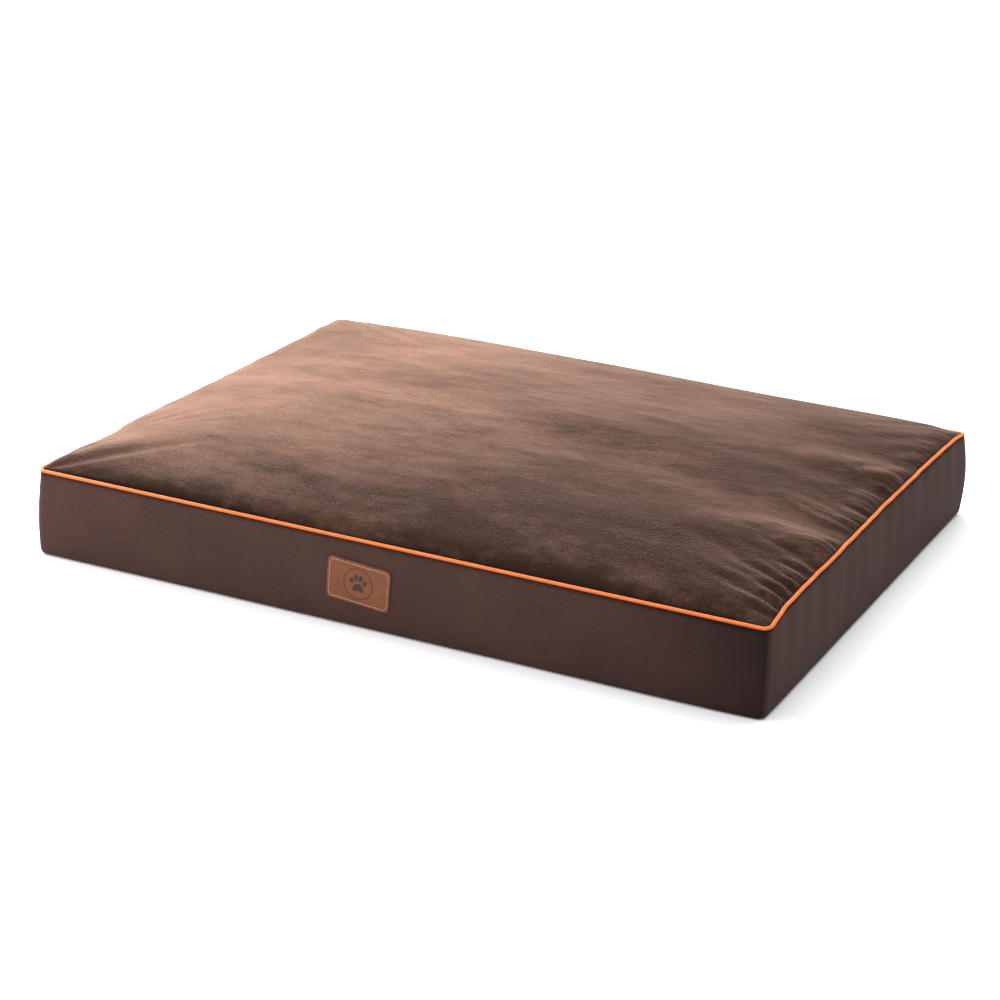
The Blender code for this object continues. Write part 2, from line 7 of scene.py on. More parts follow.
import bmesh
import bpy
import numpy as np
from mathutils import Matrix, Vector, noise


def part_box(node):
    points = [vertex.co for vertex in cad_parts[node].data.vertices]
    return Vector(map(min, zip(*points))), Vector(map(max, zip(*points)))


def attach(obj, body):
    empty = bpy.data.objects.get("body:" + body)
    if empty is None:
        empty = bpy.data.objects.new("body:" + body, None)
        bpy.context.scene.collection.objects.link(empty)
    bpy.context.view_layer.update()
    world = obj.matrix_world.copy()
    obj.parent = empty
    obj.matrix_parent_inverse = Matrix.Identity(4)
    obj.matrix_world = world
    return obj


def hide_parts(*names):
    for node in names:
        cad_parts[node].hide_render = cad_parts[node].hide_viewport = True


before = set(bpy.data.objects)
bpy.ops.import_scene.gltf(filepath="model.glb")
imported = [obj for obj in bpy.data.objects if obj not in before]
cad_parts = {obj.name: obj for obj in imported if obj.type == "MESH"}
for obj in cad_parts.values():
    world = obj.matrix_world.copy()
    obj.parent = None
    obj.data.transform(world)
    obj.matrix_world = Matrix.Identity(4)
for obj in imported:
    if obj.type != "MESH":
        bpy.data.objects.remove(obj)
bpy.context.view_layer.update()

# Sizes that the CAD model's own pieces keep between them
FIT_GAP = 0.0003
CLOTH = 0.0012
BASE_CLOTH = 0.0010
PLUSH = 0.0020
WELT_RADIUS, WELT_CLOTH, WELT_FLANGE, WELT_INSET = 0.0021, 0.0006, 0.008, 0.0014
TOP_INSET = WELT_INSET + WELT_RADIUS + FIT_GAP
HEM, TURN = 0.010, 0.0015
CORNER_RADIUS = 0.011
LINER_INSET, LINER_CORNER, LINER_FILM = 0.009, 0.007, 0.0008

# Places read from the frame
BASE_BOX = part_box("base_panel")
WELT_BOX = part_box("piping_cover")
HALF_X = BASE_BOX[1].x + CLOTH + FIT_GAP
HALF_Y = BASE_BOX[1].y + CLOTH + FIT_GAP
SEAM_HEIGHT = WELT_BOX[0].z + WELT_FLANGE
RIGHT_LIFT = WELT_BOX[1].z - WELT_RADIUS - SEAM_HEIGHT
ZIP_HEIGHT = (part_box("rear_band_lower")[1].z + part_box("rear_band_upper")[0].z) / 2
ZIP_SLOT = 0.012
SLOT_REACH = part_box("cover_zip_tape_upper")[1].x + 0.0025
LABEL_X = (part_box("label_patch")[0].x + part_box("label_patch")[1].x) / 2

# How the seam of the short sides settles: lifted and pulled in between its corners
SEAM_PULL_IN = 0.0027
LEFT_LIFT = 0.0030
LIFT_FROM_CORNER, LIFT_FROM_NEAR_LEFT, LIFT_INTO_PANEL = 0.040, 0.030, 0.100

# The leather label
LABEL_SIZE, LABEL_CORNER = (0.0805, 0.051), 0.0065
LABEL_TILT = math.radians(4)
LABEL_SHIFT = 0.0012
STITCH_MARGIN, STITCH_DEPTH = 0.0032, 0.00055
STAMP_SCALE = 1.35

PLUSH_SHEEN = 0.36
WORLD_LIGHT = 0.80
SIDE_NORMALS = {"front": -math.pi / 2, "right": 0.0, "rear": math.pi / 2, "left": math.pi}


# ---------------------------------------------------------------- numbers


def approach(distance, reach):
    """0 at an edge, rising to 1 within a few times reach."""
    return 1 - np.exp(-np.maximum(distance, 0.0) / reach)


def bump(distance, width):
    """A smooth hump of height 1, width wide on each side."""
    return np.exp(-((distance / width) ** 2))


def fbm(x, y, size_x, size_y, seed, octaves=3):
    """Smooth noise from -1 to 1 over points of a sheet, with features of these sizes."""
    flat = np.empty(x.size)
    for k, (a, b) in enumerate(zip(x.ravel(), y.ravel())):
        place = Vector((a / size_x + 17.3 * seed, b / size_y - 9.1 * seed, seed * 3.7))
        flat[k] = noise.fractal(place, 1.0, 2.0, octaves)
    return flat.reshape(x.shape)


# ---------------------------------------------------------------- shader helpers


class Shader:
    """A node material whose Principled BSDF and links are written as short calls."""

    def __init__(self, name):
        self.material = bpy.data.materials.new(name)
        self.material.use_nodes = True
        self.tree = self.material.node_tree
        self.surface = self.tree.nodes["Principled BSDF"]

    def put(self, socket, value):
        if isinstance(value, bpy.types.NodeSocket):
            self.tree.links.new(value, socket)
        else:
            socket.default_value = value

    def node(self, kind, output=0, props=None, **inputs):
        made = self.tree.nodes.new("ShaderNode" + kind)
        for key, value in (props or {}).items():
            setattr(made, key, value)
        for key, value in inputs.items():
            place = int(key[1:]) if key[0] == "i" and key[1:].isdigit() else key.replace("_", " ")
            self.put(made.inputs[place], value)
        return made.outputs[output]

    def math(self, operation, a, b=0.0, clamp=False):
        return self.node("Math", props={"operation": operation, "use_clamp": clamp}, i0=a, i1=b)

    def times(self, a, b):
        return self.math("MULTIPLY", a, b)

    def plus(self, a, b, clamp=False):
        return self.math("ADD", a, b, clamp)

    def rest(self, share, clamp=False):
        """What is left of 1."""
        return self.math("SUBTRACT", 1.0, share, clamp)

    def vector(self, operation, a, b):
        return self.node("VectorMath", props={"operation": operation}, i0=a, i1=b)

    def mix(self, share, a, b):
        """Colour a where share is 0 and b where it is 1."""
        return self.node("Mix", 2, {"data_type": "RGBA"}, i0=share, i6=a, i7=b)

    def ramp(self, value, low, high):
        """0 to 1 as value goes from low to high."""
        return self.node("MapRange", Value=value, From_Min=low, From_Max=high)

    def cloth(self):
        """Place on the flat cloth, in metres: X along the piece and Y across it."""
        return self.node("Attribute", 1, {"attribute_name": "cloth"})

    def solid(self):
        """Place inside a solid piece, in metres."""
        return self.node("TexCoord", 3)

    def mask(self, name):
        return self.node("Attribute", 2, {"attribute_name": name})

    def noise(self, where, scale, detail=2.0, roughness=0.5):
        return self.node("TexNoise", Vector=where, Scale=scale, Detail=detail, Roughness=roughness)

    def scaled(self, where, factors):
        return self.vector("MULTIPLY", where, factors)

    def ridge(self, where, direction, pitch):
        """A wave from 0 to 1 that repeats every pitch metres along a direction of the cloth."""
        turns = tuple(2 * math.pi * d / pitch for d in direction)
        phase = self.node("VectorMath", 1, {"operation": "DOT_PRODUCT"}, i0=where, i1=turns)
        return self.plus(self.times(self.math("SINE", phase), 0.5), 0.5)

    def relief(self, height, depth, strength=1.0, under=None):
        """A bump of this depth in metres, over another one if under is given."""
        inputs = {"Height": height, "Distance": depth, "Strength": strength}
        if under is not None:
            inputs["Normal"] = under
        return self.node("Bump", **inputs)

    def finish(self, colour, roughness, normal=None, sheen=0.0, sheen_tint=(1, 1, 1), sheen_roughness=0.5,
               metallic=0.0, specular=0.5):
        self.put(self.surface.inputs["Base Color"], colour)
        self.put(self.surface.inputs["Roughness"], roughness)
        self.surface.inputs["Metallic"].default_value = metallic
        self.surface.inputs["Specular IOR Level"].default_value = specular
        self.surface.inputs["Sheen Weight"].default_value = sheen
        self.surface.inputs["Sheen Tint"].default_value = (*sheen_tint, 1)
        self.surface.inputs["Sheen Roughness"].default_value = sheen_roughness
        if normal is not None:
            self.put(self.surface.inputs["Normal"], normal)
        return self.material


def rgb(red, green, blue):
    return (red, green, blue, 1.0)


# ---------------------------------------------------------------- materials


def plush_material():
    """Short nap over a fine knit, with streaks and patches where the nap lies either way, and painted sheen
    and shade from the brushed mask.
    """
    s = Shader("brushed_plush")
    where = s.cloth()
    streaks = s.noise(s.scaled(where, (7.0, 17.0, 1.0)), 1.0, 6.0, 0.66)
    patches = s.noise(s.scaled(where, (34.0, 52.0, 1.0)), 1.0, 6.0, 0.74)
    mottle = s.noise(where, 230.0, 3.0, 0.7)
    nap = s.noise(where, 640.0, 2.0, 0.6)
    knit = s.times(s.ridge(where, (0.82, 0.57, 0), 0.0021), s.ridge(where, (0.57, -0.82, 0), 0.0021))
    brushed = s.mask("brushed")
    bare = s.rest(s.times(brushed, 0.8), clamp=True)
    tone = s.plus(s.times(s.ramp(streaks, 0.36, 0.64), 0.42), s.times(s.ramp(patches, 0.36, 0.64), 0.28))
    # Painted sheen and shade: the brushed mask pales the nap at the left and the far side and leaves it dark
    # at the front and the right.
    tone = s.plus(s.math("SUBTRACT", tone, 0.35), brushed, clamp=True)
    colour = s.mix(tone, rgb(0.0245, 0.0120, 0.0080), rgb(0.180, 0.099, 0.069))
    grain = s.times(s.rest(s.ramp(nap, 0.30, 0.66)), 0.30)
    grain = s.plus(grain, s.times(s.rest(s.ramp(mottle, 0.34, 0.62)), 0.32))
    grain = s.plus(grain, s.times(s.times(s.rest(knit), bare), 0.22))
    colour = s.mix(grain, colour, rgb(0.011, 0.0055, 0.004))
    # Painted shade along the seam, where the plush tucks under the piping.
    colour = s.mix(s.mask("painted_seam_shade"), colour, rgb(0.006, 0.003, 0.0025))
    normal = s.relief(patches, 0.0030, 0.35)
    normal = s.relief(mottle, 0.0022, 0.5, normal)
    normal = s.relief(nap, 0.0008, 0.5, normal)
    normal = s.relief(s.times(knit, bare), 0.0006, 0.5, normal)
    return s.finish(colour, 0.92, normal, PLUSH_SHEEN, (1.0, 0.65, 0.52), 0.28, specular=0.02)


def oxford_material():
    """Tight diagonal weave with a dull coating."""
    s = Shader("twill_oxford")
    where = s.cloth()
    twill = s.ridge(where, (0.74, 0.67, 0), 0.0021)
    yarn = s.ridge(where, (-0.55, 0.83, 0), 0.0026)
    weave = s.times(twill, s.plus(s.times(yarn, 0.6), 0.4))
    cloudy = s.noise(where, 9.0, 4.0, 0.6)
    slub = s.noise(s.scaled(where, (60.0, 900.0, 1.0)), 1.0, 2.0)
    colour = s.mix(s.ramp(cloudy, 0.35, 0.68), rgb(0.055, 0.0260, 0.0210), rgb(0.072, 0.0355, 0.0285))
    colour = s.mix(s.times(s.rest(weave), 0.5), colour, rgb(0.014, 0.007, 0.006))
    colour = s.mix(s.times(s.ramp(slub, 0.55, 0.8), 0.25), colour, rgb(0.10, 0.060, 0.052))
    # Painted shade from the dark mask: near right corner, right band, floor and under the piping.
    colour = s.mix(s.mask("dark"), colour, rgb(0.012, 0.0062, 0.0055))
    normal = s.relief(cloudy, 0.004, 0.12)
    normal = s.relief(weave, 0.00055, 0.7, normal)
    return s.finish(colour, 0.85, normal, 0.05, (1.0, 0.8, 0.72), 0.35, specular=0.10)


def welt_material():
    """Orange bias cloth: fine ribs that run at a slant round the cord."""
    s = Shader("bias_welt")
    where = s.cloth()
    ribs = s.ridge(where, (0.75, 0.66, 0), 0.0011)
    uneven = s.noise(where, 70.0, 3.0, 0.6)
    colour = s.mix(s.ramp(uneven, 0.3, 0.7), rgb(0.60, 0.135, 0.031), rgb(0.72, 0.182, 0.050))
    colour = s.mix(s.times(s.rest(ribs), 0.28), colour, rgb(0.42, 0.070, 0.014))
    # Painted shade on the welt's underside, down into the seam.
    colour = s.mix(s.mask("painted_welt_shade"), colour, rgb(0.085, 0.016, 0.010))
    normal = s.relief(ribs, 0.00030, 0.6, s.relief(uneven, 0.0012, 0.2))
    return s.finish(colour, 0.75, normal, 0.10, (1.0, 0.7, 0.5), 0.4, specular=0.12)


def leather_material():
    """Smooth tan hide with a pebbled grain, darker burnt lines where the motif is pressed in."""
    s = Shader("tan_leather")
    where = s.cloth()
    grain = s.node("TexVoronoi", props={"feature": "DISTANCE_TO_EDGE"}, Vector=where, Scale=1150.0)
    pores = s.ramp(grain, 0.0, 0.22)
    cloudy = s.noise(where, 60.0, 4.0, 0.6)
    colour = s.mix(s.ramp(cloudy, 0.3, 0.7), rgb(0.122, 0.033, 0.0100), rgb(0.170, 0.050, 0.0160))
    colour = s.mix(s.times(s.rest(pores), 0.25), colour, rgb(0.09, 0.026, 0.012))
    # Darker at the rim and in the stitched groove.
    colour = s.mix(s.mask("edge_and_groove_dark"), colour, rgb(0.085, 0.027, 0.014))
    colour = s.mix(s.mask("stamp"), colour, rgb(0.026, 0.013, 0.011))
    rough = s.plus(0.46, s.times(cloudy, 0.18))
    normal = s.relief(pores, 0.00012, 0.5, s.relief(cloudy, 0.0009, 0.2))
    return s.finish(colour, rough, normal, specular=0.25)


def yarn_material(name, light, dark, pitch, roughness=0.7, sheen=0.3):
    """Twisted yarn or braid: slanting plies along the piece."""
    s = Shader(name)
    where = s.cloth()
    plies = s.ridge(where, (0.8, 0.6, 0), pitch)
    fuzz = s.noise(where, 900.0, 2.0)
    colour = s.mix(s.times(plies, s.ramp(fuzz, 0.2, 0.8)), dark, light)
    return s.finish(colour, roughness, s.relief(plies, pitch * 0.25, 0.7), sheen, specular=0.3)


def woven_material(name, light, dark, pitch, roughness=0.7, sheen=0.2, depth=0.00015):
    """Plain weave, one yarn over and one under, pitch apart."""
    s = Shader(name)
    where = s.cloth()
    over = s.ridge(where, (1, 0, 0), pitch)
    under = s.ridge(where, (0, 1, 0), pitch)
    weave = s.math("ABSOLUTE", s.math("SUBTRACT", over, under))
    cloudy = s.noise(where, 25.0, 3.0)
    colour = s.mix(s.times(weave, s.ramp(cloudy, 0.1, 0.8)), dark, light)
    normal = s.relief(weave, depth, 0.7, s.relief(cloudy, 0.002, 0.1))
    return s.finish(colour, roughness, normal, sheen, specular=0.35)


def foam_material(name, light, dark):
    """Open-celled foam: small round pores of mixed size."""
    s = Shader(name)
    where = s.solid()
    pores = s.node("TexVoronoi", Vector=where, Scale=620.0)
    coarse = s.node("TexVoronoi", Vector=where, Scale=210.0)
    cells = s.times(s.ramp(pores, 0.0, 0.5), s.ramp(coarse, 0.0, 0.35))
    yellowing = s.noise(where, 7.0, 3.0)
    colour = s.mix(cells, dark, light)
    colour = s.mix(s.times(s.ramp(yellowing, 0.45, 0.8), 0.3), colour, dark)
    return s.finish(colour, 0.95, s.relief(cells, 0.0008, 0.7), 0.3, specular=0.1)


def fibre_material():
    """Crimped polyester fibre."""
    s = Shader("polyester_fibre")
    where = s.solid()
    bent = s.vector("ADD", where, s.scaled(s.noise(where, 40.0, 2.0), (0.01, 0.01, 0.01)))
    strands = s.noise(s.scaled(bent, (300.0, 1200.0, 500.0)), 1.0, 4.0, 0.7)
    tufts = s.noise(where, 30.0, 4.0)
    colour = s.mix(s.ramp(strands, 0.35, 0.7), rgb(0.55, 0.55, 0.53), rgb(0.90, 0.90, 0.88))
    normal = s.relief(strands, 0.0012, 0.7, s.relief(tufts, 0.004, 0.6))
    return s.finish(colour, 0.9, normal, 0.5, specular=0.2)


def metal_material():
    """Dull plated die-cast metal, brushed, with random patches of darker tarnish."""
    s = Shader("antique_plate")
    where = s.solid()
    brushed = s.noise(s.scaled(where, (300.0, 2600.0, 2600.0)), 1.0, 3.0)
    tarnish = s.noise(where, 420.0, 4.0, 0.6)
    colour = s.mix(s.ramp(tarnish, 0.4, 0.7), rgb(0.22, 0.185, 0.155), rgb(0.11, 0.088, 0.072))
    rough = s.plus(0.26, s.times(brushed, 0.22))
    return s.finish(colour, rough, s.relief(brushed, 0.00004, 0.5), metallic=1.0)


def nylon_material():
    """Moulded nylon monofilament."""
    s = Shader("coil_nylon")
    where = s.solid()
    uneven = s.noise(where, 350.0, 2.0)
    colour = s.mix(uneven, rgb(0.045, 0.024, 0.020), rgb(0.075, 0.042, 0.036))
    return s.finish(colour, 0.36, s.relief(uneven, 0.00008, 0.4), specular=0.5)


# ---------------------------------------------------------------- meshes


def set_attribute(mesh, name, values, kind="FLOAT"):
    layer = mesh.attributes.new(name, kind, "POINT")
    key = "vector" if kind == "FLOAT_VECTOR" else "value"
    layer.data.foreach_set(key, np.asarray(values, np.float32).ravel())


def link(name, data):
    obj = bpy.data.objects.new(name, data)
    bpy.context.scene.collection.objects.link(obj)
    return obj


def piece(name, mesh, material, replaces=()):
    """Links a finished mesh as a piece that rides on the bed."""
    obj = link(name, mesh)
    mesh.materials.append(material)
    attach(obj, "bed")
    if replaces:
        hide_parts(*replaces)
    return obj


def quads_of(index):
    """Faces between neighbouring columns and rows of a grid of vertex numbers."""
    corners = [index[:-1, :-1], index[1:, :-1], index[1:, 1:], index[:-1, 1:]]
    return np.stack(corners, -1).reshape(-1, 4).tolist()


def grid_mesh(name, points, cloth, masks=None):
    """A mesh over a grid of points of shape (columns, rows, 3)."""
    columns, rows = points.shape[:2]
    index = np.arange(columns * rows).reshape(columns, rows)
    mesh = bpy.data.meshes.new(name)
    mesh.from_pydata(points.reshape(-1, 3).tolist(), [], quads_of(index))
    if cloth.shape[-1] == 2:
        cloth = np.concatenate([cloth, np.zeros((*cloth.shape[:-1], 1))], -1)
    set_attribute(mesh, "cloth", cloth, "FLOAT_VECTOR")
    for key, values in (masks or {}).items():
        set_attribute(mesh, key, values)
    mesh.shade_smooth()
    mesh.update()
    return mesh


def thicken(obj, thickness):
    """Cloth thickness, on the side that the surface's normals point away from."""
    modifier = obj.modifiers.new("thickness", "SOLIDIFY")
    modifier.thickness = thickness
    modifier.offset = -1
    modifier.use_even_offset = True
    modifier.thickness_clamp = 1.0


def run_along(path):
    """Distance from the first point of a path to each of its points."""
    return np.concatenate([[0], np.cumsum(np.linalg.norm(np.diff(path, axis=0), axis=1))])


def tube_part(path, radius, sides, closed=False):
    """A round tube along a path of points of shape (n, 3), with end caps unless it is closed."""
    tangent = np.gradient(path, axis=0)
    if closed:
        tangent = np.roll(path, -1, 0) - np.roll(path, 1, 0)
    tangent /= np.linalg.norm(tangent, axis=1)[:, None]
    reference = np.tile((0.0, 0.0, 1.0), (len(path), 1))
    steep = np.abs(tangent[:, 2]) > 0.9
    reference[steep] = (0.0, 1.0, 0.0)
    side = np.cross(tangent, reference)
    side /= np.linalg.norm(side, axis=1)[:, None]
    up = np.cross(side, tangent)
    turn = np.linspace(0, 2 * math.pi, sides, endpoint=False)
    radius = np.broadcast_to(radius, (len(path),))
    ring = side[:, None] * np.cos(turn)[None, :, None] + up[:, None] * np.sin(turn)[None, :, None]
    points = path[:, None] + ring * radius[:, None, None]
    cloth = np.stack(np.broadcast_arrays(run_along(path)[:, None], turn[None, :] * radius[:, None]), -1)
    index = np.arange(points.shape[0] * sides).reshape(-1, sides)
    index = np.hstack([index, index[:, :1]])
    if closed:
        index = np.vstack([index, index[:1]])
    faces = quads_of(index)
    if not closed:
        last = (len(path) - 1) * sides
        faces += [list(range(sides - 1, -1, -1)), list(range(last, last + sides))]
    return points.reshape(-1, 3), faces, cloth.reshape(-1, 2)


def mesh_of(name, parts):
    """One mesh of several (points, faces, cloth) parts."""
    points, faces, cloth, start = [], [], [], 0
    for part_points, part_faces, part_cloth in parts:
        points.append(part_points)
        faces += [[k + start for k in face] for face in part_faces]
        cloth.append(part_cloth)
        start += len(part_points)
    mesh = bpy.data.meshes.new(name)
    mesh.from_pydata(np.concatenate(points).tolist(), [], faces)
    flat = np.concatenate(cloth)
    set_attribute(mesh, "cloth", np.column_stack([flat, np.zeros(len(flat))]), "FLOAT_VECTOR")
    bm = bmesh.new()
    bm.from_mesh(mesh)
    bmesh.ops.recalc_face_normals(bm, faces=bm.faces)
    bm.to_mesh(mesh)
    bm.free()
    mesh.shade_smooth()
    return mesh


def extruded_rim(mesh, place, close=False):
    """Carries the open edge of a mesh to where place sets it; close fills its far end."""
    bm = bmesh.new()
    bm.from_mesh(mesh)
    rim = bmesh.ops.extrude_edge_only(bm, edges=[e for e in bm.edges if e.is_boundary])["geom"]
    for vertex in rim:
        if isinstance(vertex, bmesh.types.BMVert):
            place(vertex.co)
    if close:
        bmesh.ops.holes_fill(bm, edges=[e for e in bm.edges if e.is_boundary], sides=0)
        bmesh.ops.recalc_face_normals(bm, faces=bm.faces)
    bm.to_mesh(mesh)
    bm.free()
    mesh.shade_smooth()


# ---------------------------------------------------------------- the bed's own shape


def short_side(x, y):
    """1 at the seam of a short side, between its corners, fading into the panel."""
    near_corner = np.where(x > 0, LIFT_FROM_CORNER, LIFT_FROM_NEAR_LEFT)
    along = approach(HALF_Y - y, LIFT_FROM_CORNER) * approach(HALF_Y + y, near_corner)
    return along * np.exp(-np.maximum(HALF_X - np.abs(x), 0.0) / LIFT_INTO_PANEL)


def seam_waver(x, y):
    """How far a short side's seam strays outwards, pulled about by the gathers."""
    broad = 0.0016 * bump(y - 0.25, 0.045) - 0.0017 * bump(y - 0.03, 0.06)
    broad += 0.0014 * bump(y + 0.155, 0.04) - 0.0017 * bump(y + 0.292, 0.015)
    fine = 0.00030 * np.sin(y / 0.0071 + 0.7) + 0.00025 * np.sin(y / 0.0113 + 2.1)
    near = bump(np.maximum(HALF_X - np.abs(x), 0.0), 0.03)
    left = 0.4 * broad + fine - 0.0030 * bump(y + HALF_Y - 0.132, 0.038)
    return np.where(x > 0, broad + fine, left) * near * approach(HALF_Y - np.abs(y), 0.012)


def slump(points, share):
    """The box spreads on the floor at the left and far right, and draws in at the near right corner."""
    x, y = points[..., 0], points[..., 1]
    along = np.clip((y + HALF_Y) / (2 * HALF_Y), 0, 1)
    from_left, from_right = np.maximum(x + HALF_X, 0), np.maximum(HALF_X - x, 0)
    foot = 1 - share
    moved = points.copy()
    moved[..., 0] -= (0.0012 + 0.0036 * foot) * np.exp(-from_left / 0.03)
    belly = 0.0022 * np.sin(math.pi * share) * along ** 2
    moved[..., 0] += ((0.0036 * along - 0.0022) * foot + belly) * np.exp(-from_right / 0.03)
    out_left = 0.0045 * np.clip((0.15 - x) / 0.6, 0, 1) * foot ** 1.5
    drawn_in = 0.0042 * np.exp(-from_right / 0.045) * foot ** 0.7 * share ** 0.1
    moved[..., 1] += (drawn_in - out_left) * np.exp(-np.maximum(y + HALF_Y, 0) / 0.03)
    return moved


def settle(points, share=1.0):
    """Moves points to where the soft cover really lies. share is 1 at the seam and 0 at the floor."""
    x, y, z = points[..., 0], points[..., 1], points[..., 2]
    share = share + 0 * x
    amount = short_side(x, y) * share
    lift = LEFT_LIFT + (RIGHT_LIFT - LEFT_LIFT) * (0.5 + 0.5 * np.tanh(x / 0.1))
    waver = seam_waver(x, y) * share
    moved = np.empty_like(points)
    moved[..., 0] = x + np.sign(x) * (waver - SEAM_PULL_IN * amount)
    moved[..., 1] = y
    moved[..., 2] = z + lift * amount + 0.5 * waver
    return slump(moved, share)


def round_corners(x, y, half_x, half_y, radius):
    """Moves the points of a rectangle so that its corners become arcs."""
    a = np.clip((np.abs(x) - half_x) / radius + 1, 0, 1)
    b = np.clip((np.abs(y) - half_y) / radius + 1, 0, 1)
    both = (a > 0) & (b > 0)
    a2, b2 = a * np.sqrt(1 - b * b / 2), b * np.sqrt(1 - a * a / 2)
    new_x = np.where(both, np.sign(x) * (half_x - radius + a2 * radius), x)
    new_y = np.where(both, np.sign(y) * (half_y - radius + b2 * radius), y)
    return new_x, new_y


def positions(half, step, edge=(0.0, 0.0009, 0.002, 0.0034, 0.0052, 0.0075, 0.0105)):
    """Places from -half to half, step apart, and closer together next to both ends."""
    inner = half - edge[-1]
    count = max(2, round(2 * inner / step))
    middle = np.linspace(-inner, inner, count + 1)
    ends = np.array(edge[:-1])
    return np.concatenate([-half + ends, middle, (half - ends)[::-1]])


def plan_grid(half_x, half_y, radius, step, step_y=None, **edge):
    xs, ys = positions(half_x, step, **edge), positions(half_y, step_y or step, **edge)
    x, y = np.meshgrid(xs, ys, indexing="ij")
    return round_corners(x, y, half_x, half_y, radius)


def side_path(side, inset, step, corner=CORNER_RADIUS):
    """Plan points and outward angles of one side, from the middle of one corner's arc to the next."""
    normal = SIDE_NORMALS[side]
    run, depth = (HALF_X, HALF_Y) if side in ("front", "rear") else (HALF_Y, HALF_X)
    radius, straight = corner - inset, run - corner
    turns = np.linspace(-math.pi / 4, 0, 9)
    arc_s, arc_d = radius * np.sin(turns) - straight, radius * (np.cos(turns) - 1)
    count = round(2 * straight / step)
    line = np.linspace(-straight, straight, count + 1)[1:-1]
    s = np.concatenate([arc_s, line, -arc_s[::-1]])
    d = np.concatenate([arc_d, np.zeros(len(line)), arc_d[::-1]])
    angle = normal + np.concatenate([turns, np.zeros(len(line)), -turns[::-1]])
    out, along = (math.cos(normal), math.sin(normal)), (-math.sin(normal), math.cos(normal))
    x = out[0] * (depth - inset + d) + along[0] * s
    y = out[1] * (depth - inset + d) + along[1] * s
    return x, y, angle


def seam_loop(inset, height, step):
    """The closed line of the welt round the top seam."""
    xs, ys = [], []
    for side in ("front", "right", "rear", "left"):
        x, y, _ = side_path(side, inset, step)
        xs.append(x[:-1])
        ys.append(y[:-1])
    x, y = np.concatenate(xs), np.concatenate(ys)
    return settle(np.stack([x, y, np.full_like(x, height)], -1))


# ---------------------------------------------------------------- cover

SHOULDER_RISE, SHOULDER_REACH, LEFT_SHOULDER = 0.0085, 0.009, 0.0120
DOME_RISE, DOME_REACH = 0.0245, 0.095
SEAM_LIP = 0.0012

# Folds that run in from the right seam: place along it, half width, reach into the panel, height, slant
RIGHT_FOLDS = (
    (-0.322, 0.0042, 0.034, -0.0042, 0.10), (-0.305, 0.0042, 0.060, -0.0050, 0.30),
    (-0.284, 0.0045, 0.050, -0.0046, 0.42), (-0.262, 0.0050, 0.085, -0.0052, 0.46),
    (-0.240, 0.0045, 0.045, -0.0036, 0.40), (-0.218, 0.0050, 0.055, -0.0034, 0.30),
    (-0.190, 0.0060, 0.060, -0.0030, 0.22), (-0.154, 0.0220, 0.170, 0.0052, 0.10),
    (-0.128, 0.0055, 0.050, -0.0034, 0.16), (-0.100, 0.0160, 0.110, -0.0050, 0.06),
    (-0.070, 0.0050, 0.040, -0.0030, 0.25), (-0.046, 0.0050, 0.050, -0.0026, 0.28),
    (-0.018, 0.0050, 0.045, -0.0024, 0.20), (0.012, 0.0055, 0.050, -0.0022, 0.20),
    (0.048, 0.0110, 0.080, -0.0030, 0.05), (0.096, 0.0180, 0.210, 0.0042, 0.02),
    (0.112, 0.0055, 0.050, -0.0024, 0.05), (0.150, 0.0150, 0.110, -0.0026, -0.05),
    (0.205, 0.0070, 0.050, -0.0018, -0.15), (0.262, 0.0060, 0.040, -0.0018, -0.30),
)


def crown(x, y):
    """Height of the plush over its seam, fuller along the far side towards the left."""
    dx, dy = HALF_X - TOP_INSET - np.abs(x), HALF_Y - TOP_INSET - np.abs(y)
    shoulder = approach(dx, np.where(x < 0, 0.0060, SHOULDER_REACH)) * approach(dy, SHOULDER_REACH)
    dome = approach(dx, DOME_REACH) * approach(dy, DOME_REACH)
    from_rear = np.maximum(HALF_Y - TOP_INSET - y, 0)
    full = 0.0048 * (1 - np.clip((x - 0.02) / 0.40, 0, 1) ** 0.8 * 0.8)
    full = full * approach(from_rear, 0.007) * np.exp(-from_rear / 0.16) * approach(dx, 0.012)
    far_right = 0.72 * bump(dx, 0.028) * bump(from_rear, 0.030)
    near_left = 0.22 * bump(dx, 0.045) * bump(y + HALF_Y - 0.132, 0.040)
    slack = 1 - np.where(x > 0, far_right, near_left)
    rise = SHOULDER_RISE + (LEFT_SHOULDER - SHOULDER_RISE) * (0.5 - 0.5 * np.tanh(x / 0.15))
    return (rise * shoulder + DOME_RISE * dome + full) * slack


def lumps(x, y):
    """Broad soft unevenness of the filling, in ridges that run along the bed."""
    dx, dy = HALF_X - TOP_INSET - np.abs(x), HALF_Y - TOP_INSET - np.abs(y)
    inside = approach(dx, 0.05) * approach(dy, 0.05)
    broad = 0.0050 * fbm(x, y, 0.50, 0.17, 1, 2) + 0.0016 * fbm(x, y, 0.14, 0.06, 2, 2)
    return inside * (broad + 0.0005 * fbm(x, y, 0.05, 0.022, 3, 2))


